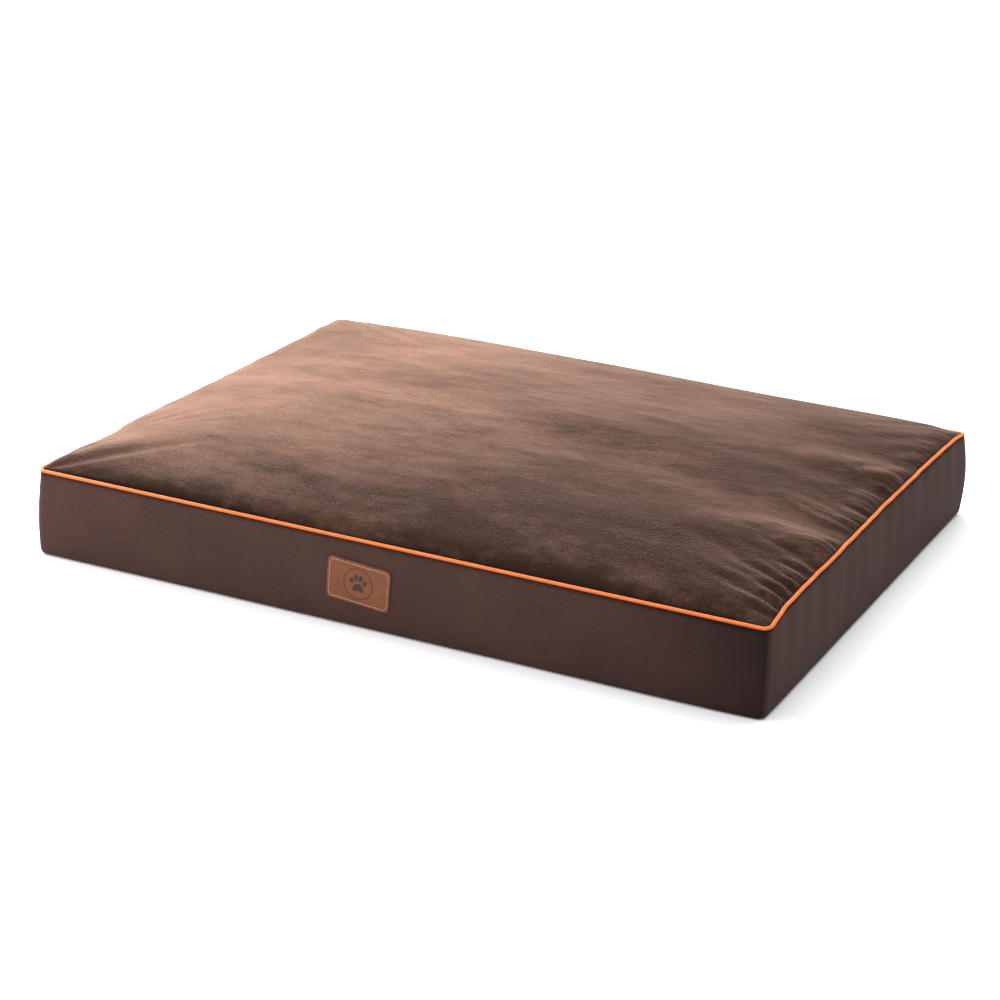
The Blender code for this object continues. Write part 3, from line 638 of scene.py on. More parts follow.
def gathers(x, y):
    """Folds that run in from the seams of the short sides, fanning out and fading."""
    inward = HALF_X - TOP_INSET - x
    height = np.zeros_like(x)
    calm = 1 - 0.70 * np.clip((y - 0.08) / 0.12, 0, 1)
    for along, wide, reach, tall, slant in RIGHT_FOLDS:
        line = along + slant * inward + 0.0012 * np.sin(inward / 0.024 + along * 40)
        spread = wide * (1 + inward / 0.075)
        swell = 1.2 * approach(inward, 0.005) * np.exp(-((inward / reach) ** 1.5))
        height += tall * swell * bump(y - line, spread)
    for sign, strength in ((1, 0.9), (-1, 0.12)):
        inward = HALF_X - TOP_INSET - sign * x
        lean = 0.35 * fbm(y, 0 * x, 0.10, 1.0, 8 + sign, 1)
        line = y + lean * inward
        fine = fbm(line, inward, 0.011, 0.12, 12 + sign, 2) * np.exp(-((inward / 0.035) ** 1.3))
        coarse = fbm(line, inward, 0.032, 0.25, 14 + sign, 2) * np.exp(-((inward / 0.080) ** 1.5))
        height += strength * (0.0022 * fine + 0.0030 * coarse) * approach(inward, 0.005)
    return height * calm * approach(HALF_Y - TOP_INSET - np.abs(y), 0.008)


def plush_height(x, y):
    return SEAM_HEIGHT + SEAM_LIP + crown(x, y) + lumps(x, y) + gathers(x, y)


# Patches of painted light and shade on the nap: strength, middle along X and Y, half width along X and Y
PAINTED_LIGHT_PATCHES = (
    (0.28, -0.14, -0.08, 0.15, 0.13),
    (0.12, -0.34, -0.27, 0.15, 0.09),
    (-0.12, 0.20, -0.08, 0.12, 0.12),
)


def nap_painted_light(x, y):
    """Painted light on the nap, standing in for the key light and the sheen: palest at the left and the far
    side, darkest near the front and at the right, with some random unevenness.
    """
    from_left = np.exp(-((x + HALF_X) / 0.27) ** 1.4)
    rearward = np.clip((y + 0.29) / 0.38, 0, 1)
    rearward = rearward ** 2 * (3 - 2 * rearward)
    rightward = np.clip((x + 0.08) / 0.38, 0, 1)
    near_edge = np.clip((y + HALF_Y) / 0.07, 0, 1)
    uneven = 0.30 * fbm(x, y, 0.24, 0.13, 71, 4)
    painted_light = 0.035 + 0.46 * rearward * (1 - 0.98 * rightward) + 0.72 * from_left * near_edge
    for strength, along, across, long, wide in PAINTED_LIGHT_PATCHES:
        painted_light = painted_light + strength * bump(x - along, long) * bump(y - across, wide)
    return np.clip(painted_light * (1 - 0.50 * from_left * rearward) + uneven, 0, 1)


def build_top_panel():
    half_x, half_y = HALF_X - TOP_INSET, HALF_Y - TOP_INSET
    x, y = plan_grid(half_x, half_y, CORNER_RADIUS - TOP_INSET, 0.0062, 0.0030)
    points = settle(np.stack([x, y, plush_height(x, y)], -1))
    edge = edge_distance(x, y, half_x, half_y, CORNER_RADIUS - TOP_INSET)
    # Painted shade within a few millimetres of the seam.
    painted_seam_shade = 0.75 * np.exp(-edge / 0.0022)
    # The brushed mask is painted light and shade on the nap.
    masks = {"brushed": nap_painted_light(x, y), "painted_seam_shade": painted_seam_shade}
    mesh = grid_mesh("top_panel_plush", points, np.stack([x, y], -1), masks)
    relax(mesh, x, y)
    for drop in (TURN, HEM - TURN):
        extruded_rim(mesh, lambda place: setattr(place, "z", place.z - drop))
    panel = piece("top_panel_plush", mesh, plush_material(), ["top_panel"])
    thicken(panel, PLUSH)


RELAX_FRAMES, RELAX_CAP = 24, 0.007


def relax(mesh, x, y):
    """Cloth simulation of the plush: sewn down all round, blown out from below, slack at the short sides."""
    rest = np.array([v.co for v in mesh.vertices])
    obj = link("plush_simulation", mesh.copy())
    half_x, half_y = HALF_X - TOP_INSET, HALF_Y - TOP_INSET
    edge = np.minimum(half_x - np.abs(x), half_y - np.abs(y)).ravel()
    side = (half_x - np.abs(x)).ravel()
    sewn = obj.vertex_groups.new(name="sewn")
    slack = obj.vertex_groups.new(name="slack")
    pin = np.clip(1.0 - edge / 0.004, 0.0, 1.0)
    ease = bump(side, 0.055) * approach(half_y - np.abs(y).ravel(), 0.02)
    ease *= np.where(x.ravel() > 0, 1.0, 0.25)
    ease *= 1 - 0.6 * np.clip((y.ravel() - 0.08) / 0.12, 0, 1)
    for index in range(len(edge)):
        if pin[index] > 0:
            sewn.add([index], float(pin[index]), "REPLACE")
        slack.add([index], float(ease[index]), "REPLACE")
    modifier = obj.modifiers.new("cloth", "CLOTH")
    settings = modifier.settings
    settings.quality = 6
    settings.mass = 0.15
    settings.tension_stiffness = 12
    settings.compression_stiffness = 12
    settings.shear_stiffness = 4
    settings.bending_stiffness = 0.35
    settings.vertex_group_mass = "sewn"
    settings.vertex_group_shrink = "slack"
    settings.shrink_min = 0.0
    settings.shrink_max = -0.022
    settings.use_pressure = True
    settings.uniform_pressure_force = 1.2
    settings.effector_weights.gravity = 0
    modifier.collision_settings.use_collision = False
    scene = bpy.context.scene
    scene.frame_end = RELAX_FRAMES
    for number in range(1, RELAX_FRAMES + 1):
        scene.frame_set(number)
    evaluated = obj.evaluated_get(bpy.context.evaluated_depsgraph_get())
    moved = np.array([v.co for v in evaluated.data.vertices])
    bpy.data.objects.remove(obj)
    scene.frame_set(1)
    shift = moved - rest
    from_rear = (half_y - y).ravel()
    shift *= ((0.15 + 0.85 * bump(side, 0.13)) * (1 - 0.85 * bump(from_rear, 0.09)))[:, None]
    length = np.linalg.norm(shift, axis=1)
    shift *= (RELAX_CAP * np.tanh(length / RELAX_CAP) / np.maximum(length, 1e-9))[:, None]
    mesh.vertices.foreach_set("co", (rest + shift).astype(np.float32).ravel())
    mesh.update()


BULGE = {"front": 0.0015, "right": 0.003, "left": 0.0012, "rear": 0.0}
CORNER_BULGE = 0.003


def band_surface(side, x, y, angle, z):
    """Outer face of a band: it bellies out, creases, and rolls under at the floor."""
    run = HALF_X if side in ("front", "rear") else HALF_Y
    along = (x if side in ("front", "rear") else y)[:, None] + 0 * z
    from_corner = run - np.abs(along)
    share = np.clip(z / SEAM_HEIGHT, 0, 1)
    middle = np.sin(math.pi * np.clip(share, 0.02, 0.98))
    belly = (BULGE[side] + (CORNER_BULGE - BULGE[side]) * bump(from_corner, 0.012)) * middle
    near_right = bump(x[:, None] - HALF_X, 0.030) * bump(y[:, None] + HALF_Y, 0.030)
    rounded = 0.0030 * near_right * middle ** 0.5
    free = 0.0 if side == "rear" else 1.0
    if side == "front":
        free = approach(np.abs(along - LABEL_X), 0.05) ** 2
    seed = {"front": 5, "right": 6, "left": 7, "rear": 8}[side]
    slow = 0.0011 * fbm(along, z, 0.10, 0.08, seed, 2)
    creases = 0.00022 * fbm(along + 0.25 * z, z, 0.020, 0.13, seed + 10, 3)
    if side == "front":
        creases = creases * 0.6
    loose = approach(from_corner, 0.014) * middle ** 0.5
    out = belly - rounded + free * loose * (slow + creases)
    roll = 0.0042
    under = np.clip(1 - (z - z.min()) / (roll * 1.25), 0, 1)
    rolled = 0.0 if side == "rear" else 1.0
    out -= rolled * roll * (1 - np.sqrt(1 - under ** 2 * 0.96))
    groove = 0.0012 * np.exp(-np.arange(x.size) / 1.1) + 0.0012 * np.exp(-np.arange(x.size)[::-1] / 1.1)
    out -= groove[:, None] * (1 - 0.85 * share ** 8)
    px = x[:, None] + out * np.cos(angle)[:, None]
    py = y[:, None] + out * np.sin(angle)[:, None]
    return settle(np.stack([px, py, z], -1), share)


def shut_slot(x, z, low, high):
    """Heights of a rear strip, whose zip edge runs to the middle of the zip past the zip's ends."""
    shut = approach(np.abs(x) - SLOT_REACH, 0.0015)[:, None]
    meeting = ZIP_HEIGHT + (FIT_GAP / 2 if low > ZIP_HEIGHT else -FIT_GAP / 2)
    if low > ZIP_HEIGHT:
        return z + shut * (meeting - low) * (high - z) / (high - low)
    return z + shut * (meeting - high) * (z - low) / (high - low)


def painted_band_shade(side, x, y, z):
    """Painted shade on a band: at the near right corner, all along the right band, at the floor and under
    the piping.
    """
    from_near_right = np.hypot(x - HALF_X, y + HALF_Y)[:, None] + 0.25 * (SEAM_HEIGHT - z)
    strength, reach = (1.0, 0.110) if side == "front" else (0.20, 0.045)
    shade = strength * np.exp(-((from_near_right / reach) ** 1.2))
    if side == "right":
        shade = shade + (0.40 - 0.20 * bump(y + HALF_Y, 0.45)[:, None])
    below_piping = np.maximum(SEAM_HEIGHT - WELT_RADIUS - z, 0)
    return shade + 0.12 * np.exp(-(z / 0.012) ** 2) + 0.6 * np.exp(-below_piping / 0.0020)


def build_band(name, side, low, high, node, step=0.005):
    x, y, angle = side_path(side, 0.0, step)
    trim = 0.00002
    x[0] += trim * -math.sin(angle[0])
    y[0] += trim * math.cos(angle[0])
    x[-1] -= trim * -math.sin(angle[-1])
    y[-1] -= trim * math.cos(angle[-1])
    floor_rows = low + np.array([0.0, 0.0004, 0.001, 0.0018, 0.0028, 0.004, 0.0055, 0.0075])
    upper_rows = np.linspace(low + 0.011, high, max(4, round((high - low) / 0.005)))
    rows = np.concatenate([floor_rows, upper_rows])
    z = np.tile(rows, (x.size, 1))
    if side == "rear":
        z = shut_slot(x, z, low, high)
    points = band_surface(side, x, y, angle, z)
    run = run_along(np.stack([x, y], -1))
    cloth = np.stack(np.broadcast_arrays(run[:, None], rows[None, :]), -1)
    # The dark mask is painted shade.
    masks = {"dark": painted_band_shade(side, x, y, z)}
    mesh = grid_mesh(name, points, cloth, masks)
    band = piece(name, mesh, OXFORD, [node])
    thicken(band, CLOTH)


def build_boxing():
    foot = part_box("front_band")[0].z
    top = SEAM_HEIGHT - WELT_RADIUS - FIT_GAP
    build_band("front_band_oxford", "front", foot, top, "front_band")
    build_band("right_band_oxford", "right", foot, top, "right_band")
    build_band("left_band_oxford", "left", foot, top, "left_band")
    build_band("rear_band_lower_oxford", "rear", foot, ZIP_HEIGHT - ZIP_SLOT / 2, "rear_band_lower")
    build_band("rear_band_upper_oxford", "rear", ZIP_HEIGHT + ZIP_SLOT / 2, top, "rear_band_upper")


def build_base_panel():
    """Underside cloth, its hem turned up inside the bands, with rows of non-slip dots pressed on it."""
    inset = 0.0052
    half_x, half_y = HALF_X - inset, HALF_Y - inset
    x, y = plan_grid(half_x, half_y, CORNER_RADIUS - inset, 0.012)
    z = 0.0016 + 0.0002 * fbm(x, y, 0.05, 0.05, 21, 2)
    points = slump(np.stack([x, y, z], -1), 0.02 + 0 * x)
    mesh = grid_mesh("base_panel_cloth", points, np.stack([x, y], -1))
    mesh.flip_normals()
    extruded_rim(mesh, lambda place: setattr(place, "z", HEM))
    panel = piece("base_panel_cloth", mesh, BASE_WEAVE, ["base_panel"])
    thicken(panel, BASE_CLOTH * 0.6)
    dots = build_grip_dots(half_x, half_y)


def build_grip_dots(half_x, half_y):
    """Small rubbery domes in staggered rows under the base."""
    pitch, radius, height = 0.018, 0.0016, 0.0014
    parts = []
    rings = ((1.0, 0.0), (0.86, 0.45), (0.5, 0.85))
    turn = np.linspace(0, 2 * math.pi, 8, endpoint=False)
    for row, y in enumerate(np.arange(-half_y + 0.02, half_y - 0.015, pitch)):
        start = -half_x + 0.02 + (row % 2) * pitch / 2
        for x in np.arange(start, half_x - 0.015, pitch):
            points = [(x + radius * r * math.cos(t), y + radius * r * math.sin(t), height * (1 - h) + 0.0001)
                      for r, h in rings for t in turn]
            points.append((x, y, 0.0001))
            faces = [[k * 8 + j, k * 8 + (j + 1) % 8, k * 8 + 8 + (j + 1) % 8, k * 8 + 8 + j]
                     for k in range(2) for j in range(8)]
            faces += [[16 + j, 16 + (j + 1) % 8, 24] for j in range(8)]
            faces.append(list(range(7, -1, -1)))
            cloth = np.array(points)[:, :2]
            parts.append((np.array(points), faces, cloth))
    return piece("base_grip_dots", mesh_of("base_grip_dots", parts), GRIP)


def build_welt():
    """The bias cloth round its cord, and the flange that is sewn into the seam."""
    path = seam_loop(WELT_INSET, SEAM_HEIGHT, 0.004)
    tangent = np.roll(path, -1, 0) - np.roll(path, 1, 0)
    tangent /= np.linalg.norm(tangent, axis=1)[:, None]
    inward = np.cross((0.0, 0.0, 1.0), tangent)
    inward /= np.linalg.norm(inward, axis=1)[:, None]
    up = np.cross(tangent, inward)
    outer, inner = WELT_RADIUS, WELT_RADIUS - WELT_CLOTH
    near, far = 0.0001, 0.0016
    start = math.asin(far / outer)
    end = 2 * math.pi + math.asin(near / outer)
    angles = np.linspace(start, end, 22)
    ring_out = [(outer * math.sin(a), -outer * math.cos(a)) for a in angles]
    start = math.asin((far - WELT_CLOTH) / inner)
    end = 2 * math.pi + math.asin((near + WELT_CLOTH) / inner)
    ring_in = [(inner * math.sin(a), -inner * math.cos(a)) for a in np.linspace(end, start, 16)]
    flange = [-WELT_FLANGE * 0.5, -WELT_FLANGE]
    profile = [(far, flange[1]), (far, flange[0]), *ring_out, (near, flange[0]), (near, flange[1]),
               (near + WELT_CLOTH, flange[1]), (near + WELT_CLOTH, flange[0]), *ring_in,
               (far - WELT_CLOTH, flange[0]), (far - WELT_CLOTH, flange[1])]
    profile = np.array(profile)
    points = path[:, None] + inward[:, None] * profile[None, :, :1] + up[:, None] * profile[None, :, 1:]
    run, girth = run_along(path), run_along(profile)
    cloth = np.stack(np.broadcast_arrays(run[:, None], girth[None, :]), -1)
    sides = len(profile)
    index = np.arange(len(path) * sides).reshape(-1, sides)
    index = np.vstack([np.hstack([index, index[:, :1]]), np.append(index[0], index[0, 0])])
    part = points.reshape(-1, 3), quads_of(index), cloth.reshape(-1, 2)
    mesh = mesh_of("piping_cover_bias", [part])
    # Painted shade, deepest on the lower side of the cord and on the flange.
    painted_welt_shade = np.clip((0.1 - profile[:, 1] / outer) / 0.9, 0, 1) ** 0.8
    set_attribute(mesh, "painted_welt_shade", np.tile(painted_welt_shade, len(path)))
    mesh.set_sharp_from_angle(angle=math.radians(50))
    cover = piece("piping_cover_bias", mesh, welt_material(), ["piping_cover"])
    cord = tube_part(path, WELT_RADIUS - WELT_CLOTH - FIT_GAP, 10, closed=True)
    name = "piping_cord_cotton"
    piece(name, mesh_of(name, [cord]), COTTON, ["piping_cord"])


# ---------------------------------------------------------------- sewing


def stitch_parts(centres, directions, ups, length, thickness, rise):
    """Short arched stitches of thread at these places, as parts for one mesh."""
    parts = []
    t = np.linspace(-1, 1, 7)
    for centre, direction, up in zip(centres, directions, ups):
        arch = rise * (1 - t ** 2)
        path = centre + np.outer(t * length / 2, direction) + np.outer(arch, up)
        radius = thickness / 2 * np.sqrt(np.clip(1 - (t * 0.93) ** 4, 0.05, 1))
        parts.append(tube_part(path, radius, 6))
    return parts


def row_of_stitches(name, start, end, up, pitch, material, replaces=()):
    """A straight row of stitches lying on a surface whose outward direction is up."""
    start, end, up = np.array(start), np.array(end), np.array(up)
    count = int(np.linalg.norm(end - start) / pitch)
    direction = (end - start) / np.linalg.norm(end - start)
    centres = [start + direction * pitch * (k + 0.5) for k in range(count)]
    parts = stitch_parts(centres, [direction] * count, [up] * count, pitch * 0.78, 0.0005, 0.0002)
    return piece(name, mesh_of(name, parts), material, replaces)


# ---------------------------------------------------------------- leather label


def paw_print(u, v):
    """Depth share of a plain paw print inside a thin ring, over label places u, v in metres."""
    def pad(cu, cv, ru, rv, lean=0.0):
        du, dv = u - cu, v - cv
        a = du * math.cos(lean) + dv * math.sin(lean)
        b = -du * math.sin(lean) + dv * math.cos(lean)
        edge = 1 - np.sqrt((a / ru) ** 2 + (b / rv) ** 2)
        return np.clip(edge * min(ru, rv) / 0.0005 + 0.5, 0, 1)

    def line(distance, half_width):
        return np.clip((half_width - np.abs(distance)) / 0.0004 + 0.5, 0, 1)

    toes = [pad(-0.0062, 0.0016, 0.0018, 0.0026, 0.45), pad(-0.0023, 0.0052, 0.0019, 0.0028, 0.12),
            pad(0.0023, 0.0052, 0.0019, 0.0028, -0.12), pad(0.0062, 0.0016, 0.0018, 0.0026, -0.45)]
    palm = np.maximum(pad(0, -0.0030, 0.0037, 0.0031), pad(-0.0027, -0.0048, 0.0026, 0.0022, 0.5))
    palm = np.maximum(palm, pad(0.0027, -0.0048, 0.0026, 0.0022, -0.5))
    ring = line(np.hypot(u, v + 0.0002) - 0.0135, 0.0004)
    return np.maximum.reduce([*toes, palm, ring])


def build_label():
    """Leather patch: rounded edge, a stitched groove and the pressed motif, tilted as it was sewn on."""
    mesh_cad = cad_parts["label_patch"].data
    co = np.array([v.co for v in mesh_cad.vertices])
    centre = (co.min(0) + co.max(0)) / 2 + np.array((LABEL_SHIFT, 0.0, 0.0))
    back, thickness = co[:, 1].max(), co[:, 1].max() - co[:, 1].min()
    half_u, half_v = LABEL_SIZE[0] / 2, LABEL_SIZE[1] / 2
    corner, margin, step = LABEL_CORNER, STITCH_MARGIN, 0.00055
    us = positions(half_u, step, edge=(0.0, 0.0001, 0.0003, 0.0006, 0.0009))
    vs = positions(half_v, step, edge=(0.0, 0.0001, 0.0003, 0.0006, 0.0009))
    u, v = np.meshgrid(us, vs, indexing="ij")
    u, v = round_corners(u, v, half_u, half_v, corner)
    edge = edge_distance(u, v, half_u, half_v, corner)
    groove = np.clip(1 - ((edge - margin) / 0.0008) ** 2, 0, 1) ** 0.5
    stamp = paw_print(u / STAMP_SCALE, v / STAMP_SCALE)
    rounding = 0.0006 * (1 - np.sqrt(np.clip(1 - (1 - np.clip(edge / 0.0010, 0, 1)) ** 2, 0, 1)))
    warp = 0.00025 * fbm(u, v, 0.03, 0.03, 31, 2)
    out = thickness - 0.0004 - rounding - 0.0005 * groove - 0.00045 * stamp + warp
    # Darker at the rim and in the stitched groove.
    edge_and_groove_dark = np.clip(1 - edge / 0.0012, 0, 1) * 0.9 + 0.45 * groove
    front = label_points(u, v, out, centre, back)
    masks = {"stamp": stamp, "edge_and_groove_dark": np.clip(edge_and_groove_dark, 0, 1)}
    mesh = grid_mesh("label_patch_leather", front, np.stack([u, v], -1), masks)
    extruded_rim(mesh, lambda place: setattr(place, "y", back), close=True)
    mesh.set_sharp_from_angle(angle=math.radians(40))
    piece("label_patch_leather", mesh, leather_material(), ["label_patch"])
    size = (half_u - margin, half_v - margin, corner - margin / 2)
    build_label_stitches(*size, centre, back, thickness)


def edge_distance(u, v, half_u, half_v, corner):
    """Distance inwards from the edge of a rounded rectangle."""
    du, dv = np.abs(u) - (half_u - corner), np.abs(v) - (half_v - corner)
    outside = np.hypot(np.maximum(du, 0), np.maximum(dv, 0)) + np.minimum(np.maximum(du, dv), 0)
    return np.maximum(corner - outside, 0)


def label_points(u, v, out, centre, back):
    """Places of the label's own coordinates in the frame: u to the right, v up, out to the front."""
    cosine, sine = math.cos(LABEL_TILT), math.sin(LABEL_TILT)
    x = centre[0] + u * cosine + v * sine
    z = centre[2] - u * sine + v * cosine
    return np.stack([x, back - out, z], -1)


def build_label_stitches(half_u, half_v, corner, centre, back, thickness):
    """Running stitches in the groove, evenly spaced round its straight sides and corners."""
    pitch = 0.0030
    straight_u, straight_v = half_u - corner, half_v - corner
    lengths = [2 * straight_u, math.pi / 2 * corner, 2 * straight_v, math.pi / 2 * corner] * 2
    total = sum(lengths)
    count = round(total / pitch)
    centres, directions = [], []
    for k in range(count):
        s = (k + 0.5) * total / count
        for number, length in enumerate(lengths):
            if s <= length:
                break
            s -= length
        heading = math.pi / 2 * (number // 2)
        if number % 2 == 0:
            local = (-length / 2 + s, -(half_v if number % 4 == 0 else half_u))
        else:
            turn = s / corner
            side = straight_u if number % 4 == 1 else straight_v
            rise = straight_v if number % 4 == 1 else straight_u
            local = (side + corner * math.sin(turn), -rise - corner * math.cos(turn))
        c, n = math.cos(heading), math.sin(heading)
        centres.append((local[0] * c - local[1] * n, local[0] * n + local[1] * c))
        bend = heading + (s / corner if number % 2 else 0.0)
        directions.append((math.cos(bend), math.sin(bend)))
    uv, duv = np.array(centres), np.array(directions)
    height = np.full(count, thickness - STITCH_DEPTH)
    places = label_points(uv[:, 0], uv[:, 1], height, centre, back)
    tips = label_points(uv[:, 0] + duv[:, 0], uv[:, 1] + duv[:, 1], height, centre, back)
    ups = np.tile((0.0, -1.0, 0.0), (count, 1))
    parts = stitch_parts(places, tips - places, ups, pitch * 0.72, 0.00085, 0.00030)
    name = "label_thread_stitches"
    piece(name, mesh_of(name, parts), THREAD, ["label_thread"])


# ---------------------------------------------------------------- zips


def build_coil(name, node, sign, turn_pitch, sides=5, points_per_turn=9):
    """One half of the chain: nylon filament wound in a flattened helix along the tape's edge."""
    low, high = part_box(node)
    length = high.x - low.x - 0.001
    turns = int(length / turn_pitch)
    wire = 0.00032
    phase = np.linspace(0, 2 * math.pi * turns, turns * points_per_turn)
    x = low.x + 0.0005 + wire + phase / (2 * math.pi) * (length - 2 * wire) / turns
    mid_y, mid_z = (low.y + high.y) / 2, (low.z + high.z) / 2
    half_y, half_z = (high.y - low.y) / 2 - wire, (high.z - low.z) / 2 - wire
    y = mid_y + half_y * np.cos(phase)
    z = mid_z + sign * half_z * np.sin(phase)
    part = tube_part(np.stack([x, y, z], -1), wire, sides)
    piece(name, mesh_of(name, [part]), NYLON, [node])


def upright(name, x, y, z):
    """A sheet that stands on the rear side, seen from +Y."""
    return grid_mesh(name, np.stack([x, y, z], -1)[::-1], np.stack([x, z], -1)[::-1])


def build_tape(name, node):
    """Woven tape with a slightly uneven edge."""
    low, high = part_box(node)
    xs = np.linspace(low.x, high.x, 176)
    zs = np.linspace(low.z + 0.0002, high.z - 0.0002, 7)
    x, z = np.meshgrid(xs, zs, indexing="ij")
    y = high.y - 0.0001 - 0.0001 * (1 + np.sin(x / 0.006 + z * 400))
    tape = piece(name, upright(name, x, y, z), TAPE, [node])
    thicken(tape, 0.0005)


def metal_part(node, rounding):
    """A part of the frame in metal, with rounded edges."""
    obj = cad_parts[node]
    obj.data.materials[0] = METAL
    modifier = obj.modifiers.new("rounded", "BEVEL")
    modifier.width = rounding
    modifier.segments = 2
    modifier.limit_method = "ANGLE"
    modifier.angle_limit = math.radians(35)


def build_zip(prefix, turn_pitch):
    for half, sign in (("upper", 1), ("lower", -1)):
        build_coil(f"{prefix}_coil_{half}_helix", f"{prefix}_coil_{half}", sign, turn_pitch)
        build_tape(f"{prefix}_tape_{half}_weave", f"{prefix}_tape_{half}")
        metal_part(f"{prefix}_top_stop_{half}", 0.0004)
    metal_part(f"{prefix}_bottom_stop", 0.0004)
    metal_part(f"{prefix}_slider", 0.00018)


def build_zips():
    build_zip("cover_zip", 0.0013)
    build_zip("liner_zip", 0.0026)
    metal_part("cover_zip_pull", 0.00018)
    for side in ("left", "right"):
        build_guard(side)
    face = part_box("rear_band_lower")[1].y + 0.00005
    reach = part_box("cover_zip_tape_upper")[1].x - 0.004
    for half, sign in (("lower", -1), ("upper", 1)):
        z = ZIP_HEIGHT + sign * ZIP_SLOT / 2 + sign * 0.003
        start, end = (-reach, face, z), (reach, face, z)
        row_of_stitches(f"rear_{half}_topstitch", start, end, (0, 1, 0), 0.0032, SEAM_THREAD)


def build_guard(side):
    """Cloth tab over one end of the zip, bar-tacked down along its far edges."""
    low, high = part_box(f"zip_guard_{side}")
    xs, zs = np.linspace(low.x, high.x, 30), np.linspace(low.z, high.z, 26)
    x, z = np.meshgrid(xs, zs, indexing="ij")
    edge = np.minimum(np.minimum(x - low.x, high.x - x), np.minimum(z - low.z, high.z - z))
    y = high.y - 0.0003 * bump(edge - 0.003, 0.0015) - 0.0004 * (1 - approach(edge, 0.0008))
    name = f"zip_guard_{side}_cloth"
    guard = piece(name, upright(name, x, y, z), OXFORD, [f"zip_guard_{side}"])
    thicken(guard, 0.0005)
    parts, inner, out = [], 0.003, np.array((0, 1, 0))
    corners = [(low.x + inner, low.z + inner), (high.x - inner, low.z + inner),
               (high.x - inner, high.z - inner), (low.x + inner, high.z - inner)]
    for start, end in zip(corners, corners[1:] + corners[:1]):
        a = np.array((start[0], high.y - 0.0002, start[1]))
        b = np.array((end[0], high.y - 0.0002, end[1]))
        length = np.linalg.norm(b - a)
        count = max(1, round(length / 0.0028))
        direction = (b - a) / length
        centres = [a + direction * length * (k + 0.5) / count for k in range(count)]
        parts += stitch_parts(centres, [direction] * count, [out] * count, 0.0022, 0.0006, 0.0002)
    thread = piece(f"zip_guard_{side}_stitches", mesh_of("guard_stitches", parts), SEAM_THREAD)


def build_care_label():
    """Blank satin tag with soft curl at its free edge."""
    low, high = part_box("care_label")
    xs, zs = np.linspace(low.x, high.x, 25), np.linspace(low.z, high.z, 27)
    x, z = np.meshgrid(xs, zs, indexing="ij")
    free = (z - low.z) / (high.z - low.z)
    y = low.y + 0.00035 + 0.0022 * (1 - free) ** 2 * (0.7 + 0.3 * np.sin((x - low.x) / 0.006))
    name = "care_label_satin"
    tag = piece(name, upright(name, x, y, z), SATIN, ["care_label"])
    thicken(tag, 0.0003)
    start = (low.x + 0.002, low.y + 0.0005, high.z - 0.0025)
    end = (high.x - 0.002, low.y + 0.0005, high.z - 0.0025)
    row_of_stitches("care_label_stitches", start, end, (0, 1, 0), 0.0030, SEAM_THREAD)


# ---------------------------------------------------------------- liner and fillings


def from_liner_edge(x, y):
    along_x = approach(HALF_X - LINER_INSET - np.abs(x), 0.012)
    return along_x * approach(HALF_Y - LINER_INSET - np.abs(y), 0.012)


def liner_height(x, y):
    """Outside of the liner's top: under the plush, and clear of its hem at the edge."""
    under = SEAM_HEIGHT + SEAM_LIP + crown(x, y) + lumps(x, y) - PLUSH
    return under - 0.0022 - 0.0095 * (1 - from_liner_edge(x, y))


def build_liner():
    half_x, half_y = HALF_X - LINER_INSET, HALF_Y - LINER_INSET
    x, y = plan_grid(half_x, half_y, LINER_CORNER, 0.012)
    inside = from_liner_edge(x, y)
    crumple = 0.0010 * inside * fbm(x, y, 0.045, 0.03, 41, 3) - 0.0010
    z = liner_height(x, y) + crumple
    flat = np.stack([x, y], -1)
    points = np.stack([x, y, z], -1)
    film("liner_top_film", points, flat, "liner_top")
    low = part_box("liner_base")[0].z
    points = np.stack([x, y, low + LINER_FILM + 0.0 * x], -1)
    film("liner_base_film", points, flat, "liner_base")
    outer = LINER_INSET + LINER_CORNER
    xs, ys, angles = [], [], []
    for side in ("left", "front", "right"):
        px, py, pa = side_path(side, LINER_INSET, 0.012, outer)
        last = None if side == "right" else -1
        xs.append(px[:last])
        ys.append(py[:last])
        angles.append(pa[:last])
    around = np.concatenate(xs), np.concatenate(ys), np.concatenate(angles)
    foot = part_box("liner_gusset")[0].z
    liner_strip("liner_gusset_film", around, foot, None, "liner_gusset")
    rear = side_path("rear", LINER_INSET, 0.012, outer)
    lower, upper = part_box("liner_rear_lower"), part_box("liner_rear_upper")
    liner_strip("liner_rear_lower_film", rear, foot, lower[1].z, "liner_rear_lower")
    liner_strip("liner_rear_upper_film", rear, upper[0].z, None, "liner_rear_upper")


def liner_strip(name, line, foot, head, node):
    x, y, angle = (a[1:-1] for a in line)
    top = np.full(x.size, head) if head else liner_height(x, y) - LINER_FILM - 0.0030
    share = np.linspace(0, 1, 12)
    z = foot + (top - foot)[:, None] * share
    run = run_along(np.stack([x, y], -1))
    uneven = fbm(run[:, None] + 0 * z, z, 0.03, 0.06, 43, 2) - 1.0
    slack = np.sin(math.pi * share)[None, :] * 0.0008 * uneven
    px = x[:, None] + slack * np.cos(angle)[:, None]
    py = y[:, None] + slack * np.sin(angle)[:, None]
    cloth = np.stack(np.broadcast_arrays(run[:, None], z), -1)
    film(name, np.stack([px, py, z], -1), cloth, node)


def film(name, points, cloth, node):
    sheet = piece(name, grid_mesh(name, points, cloth), LINER, [node])
    thicken(sheet, LINER_FILM)


def slab(name, x, y, top, floor, material, node):
    """A closed block with a shaped top and a flat underside."""
    mesh = grid_mesh(name, np.stack([x, y, top], -1), np.stack([x, y], -1))
    extruded_rim(mesh, lambda place: setattr(place, "z", floor), close=True)
    mesh.set_sharp_from_angle(angle=math.radians(50))
    piece(name, mesh, material, [node])


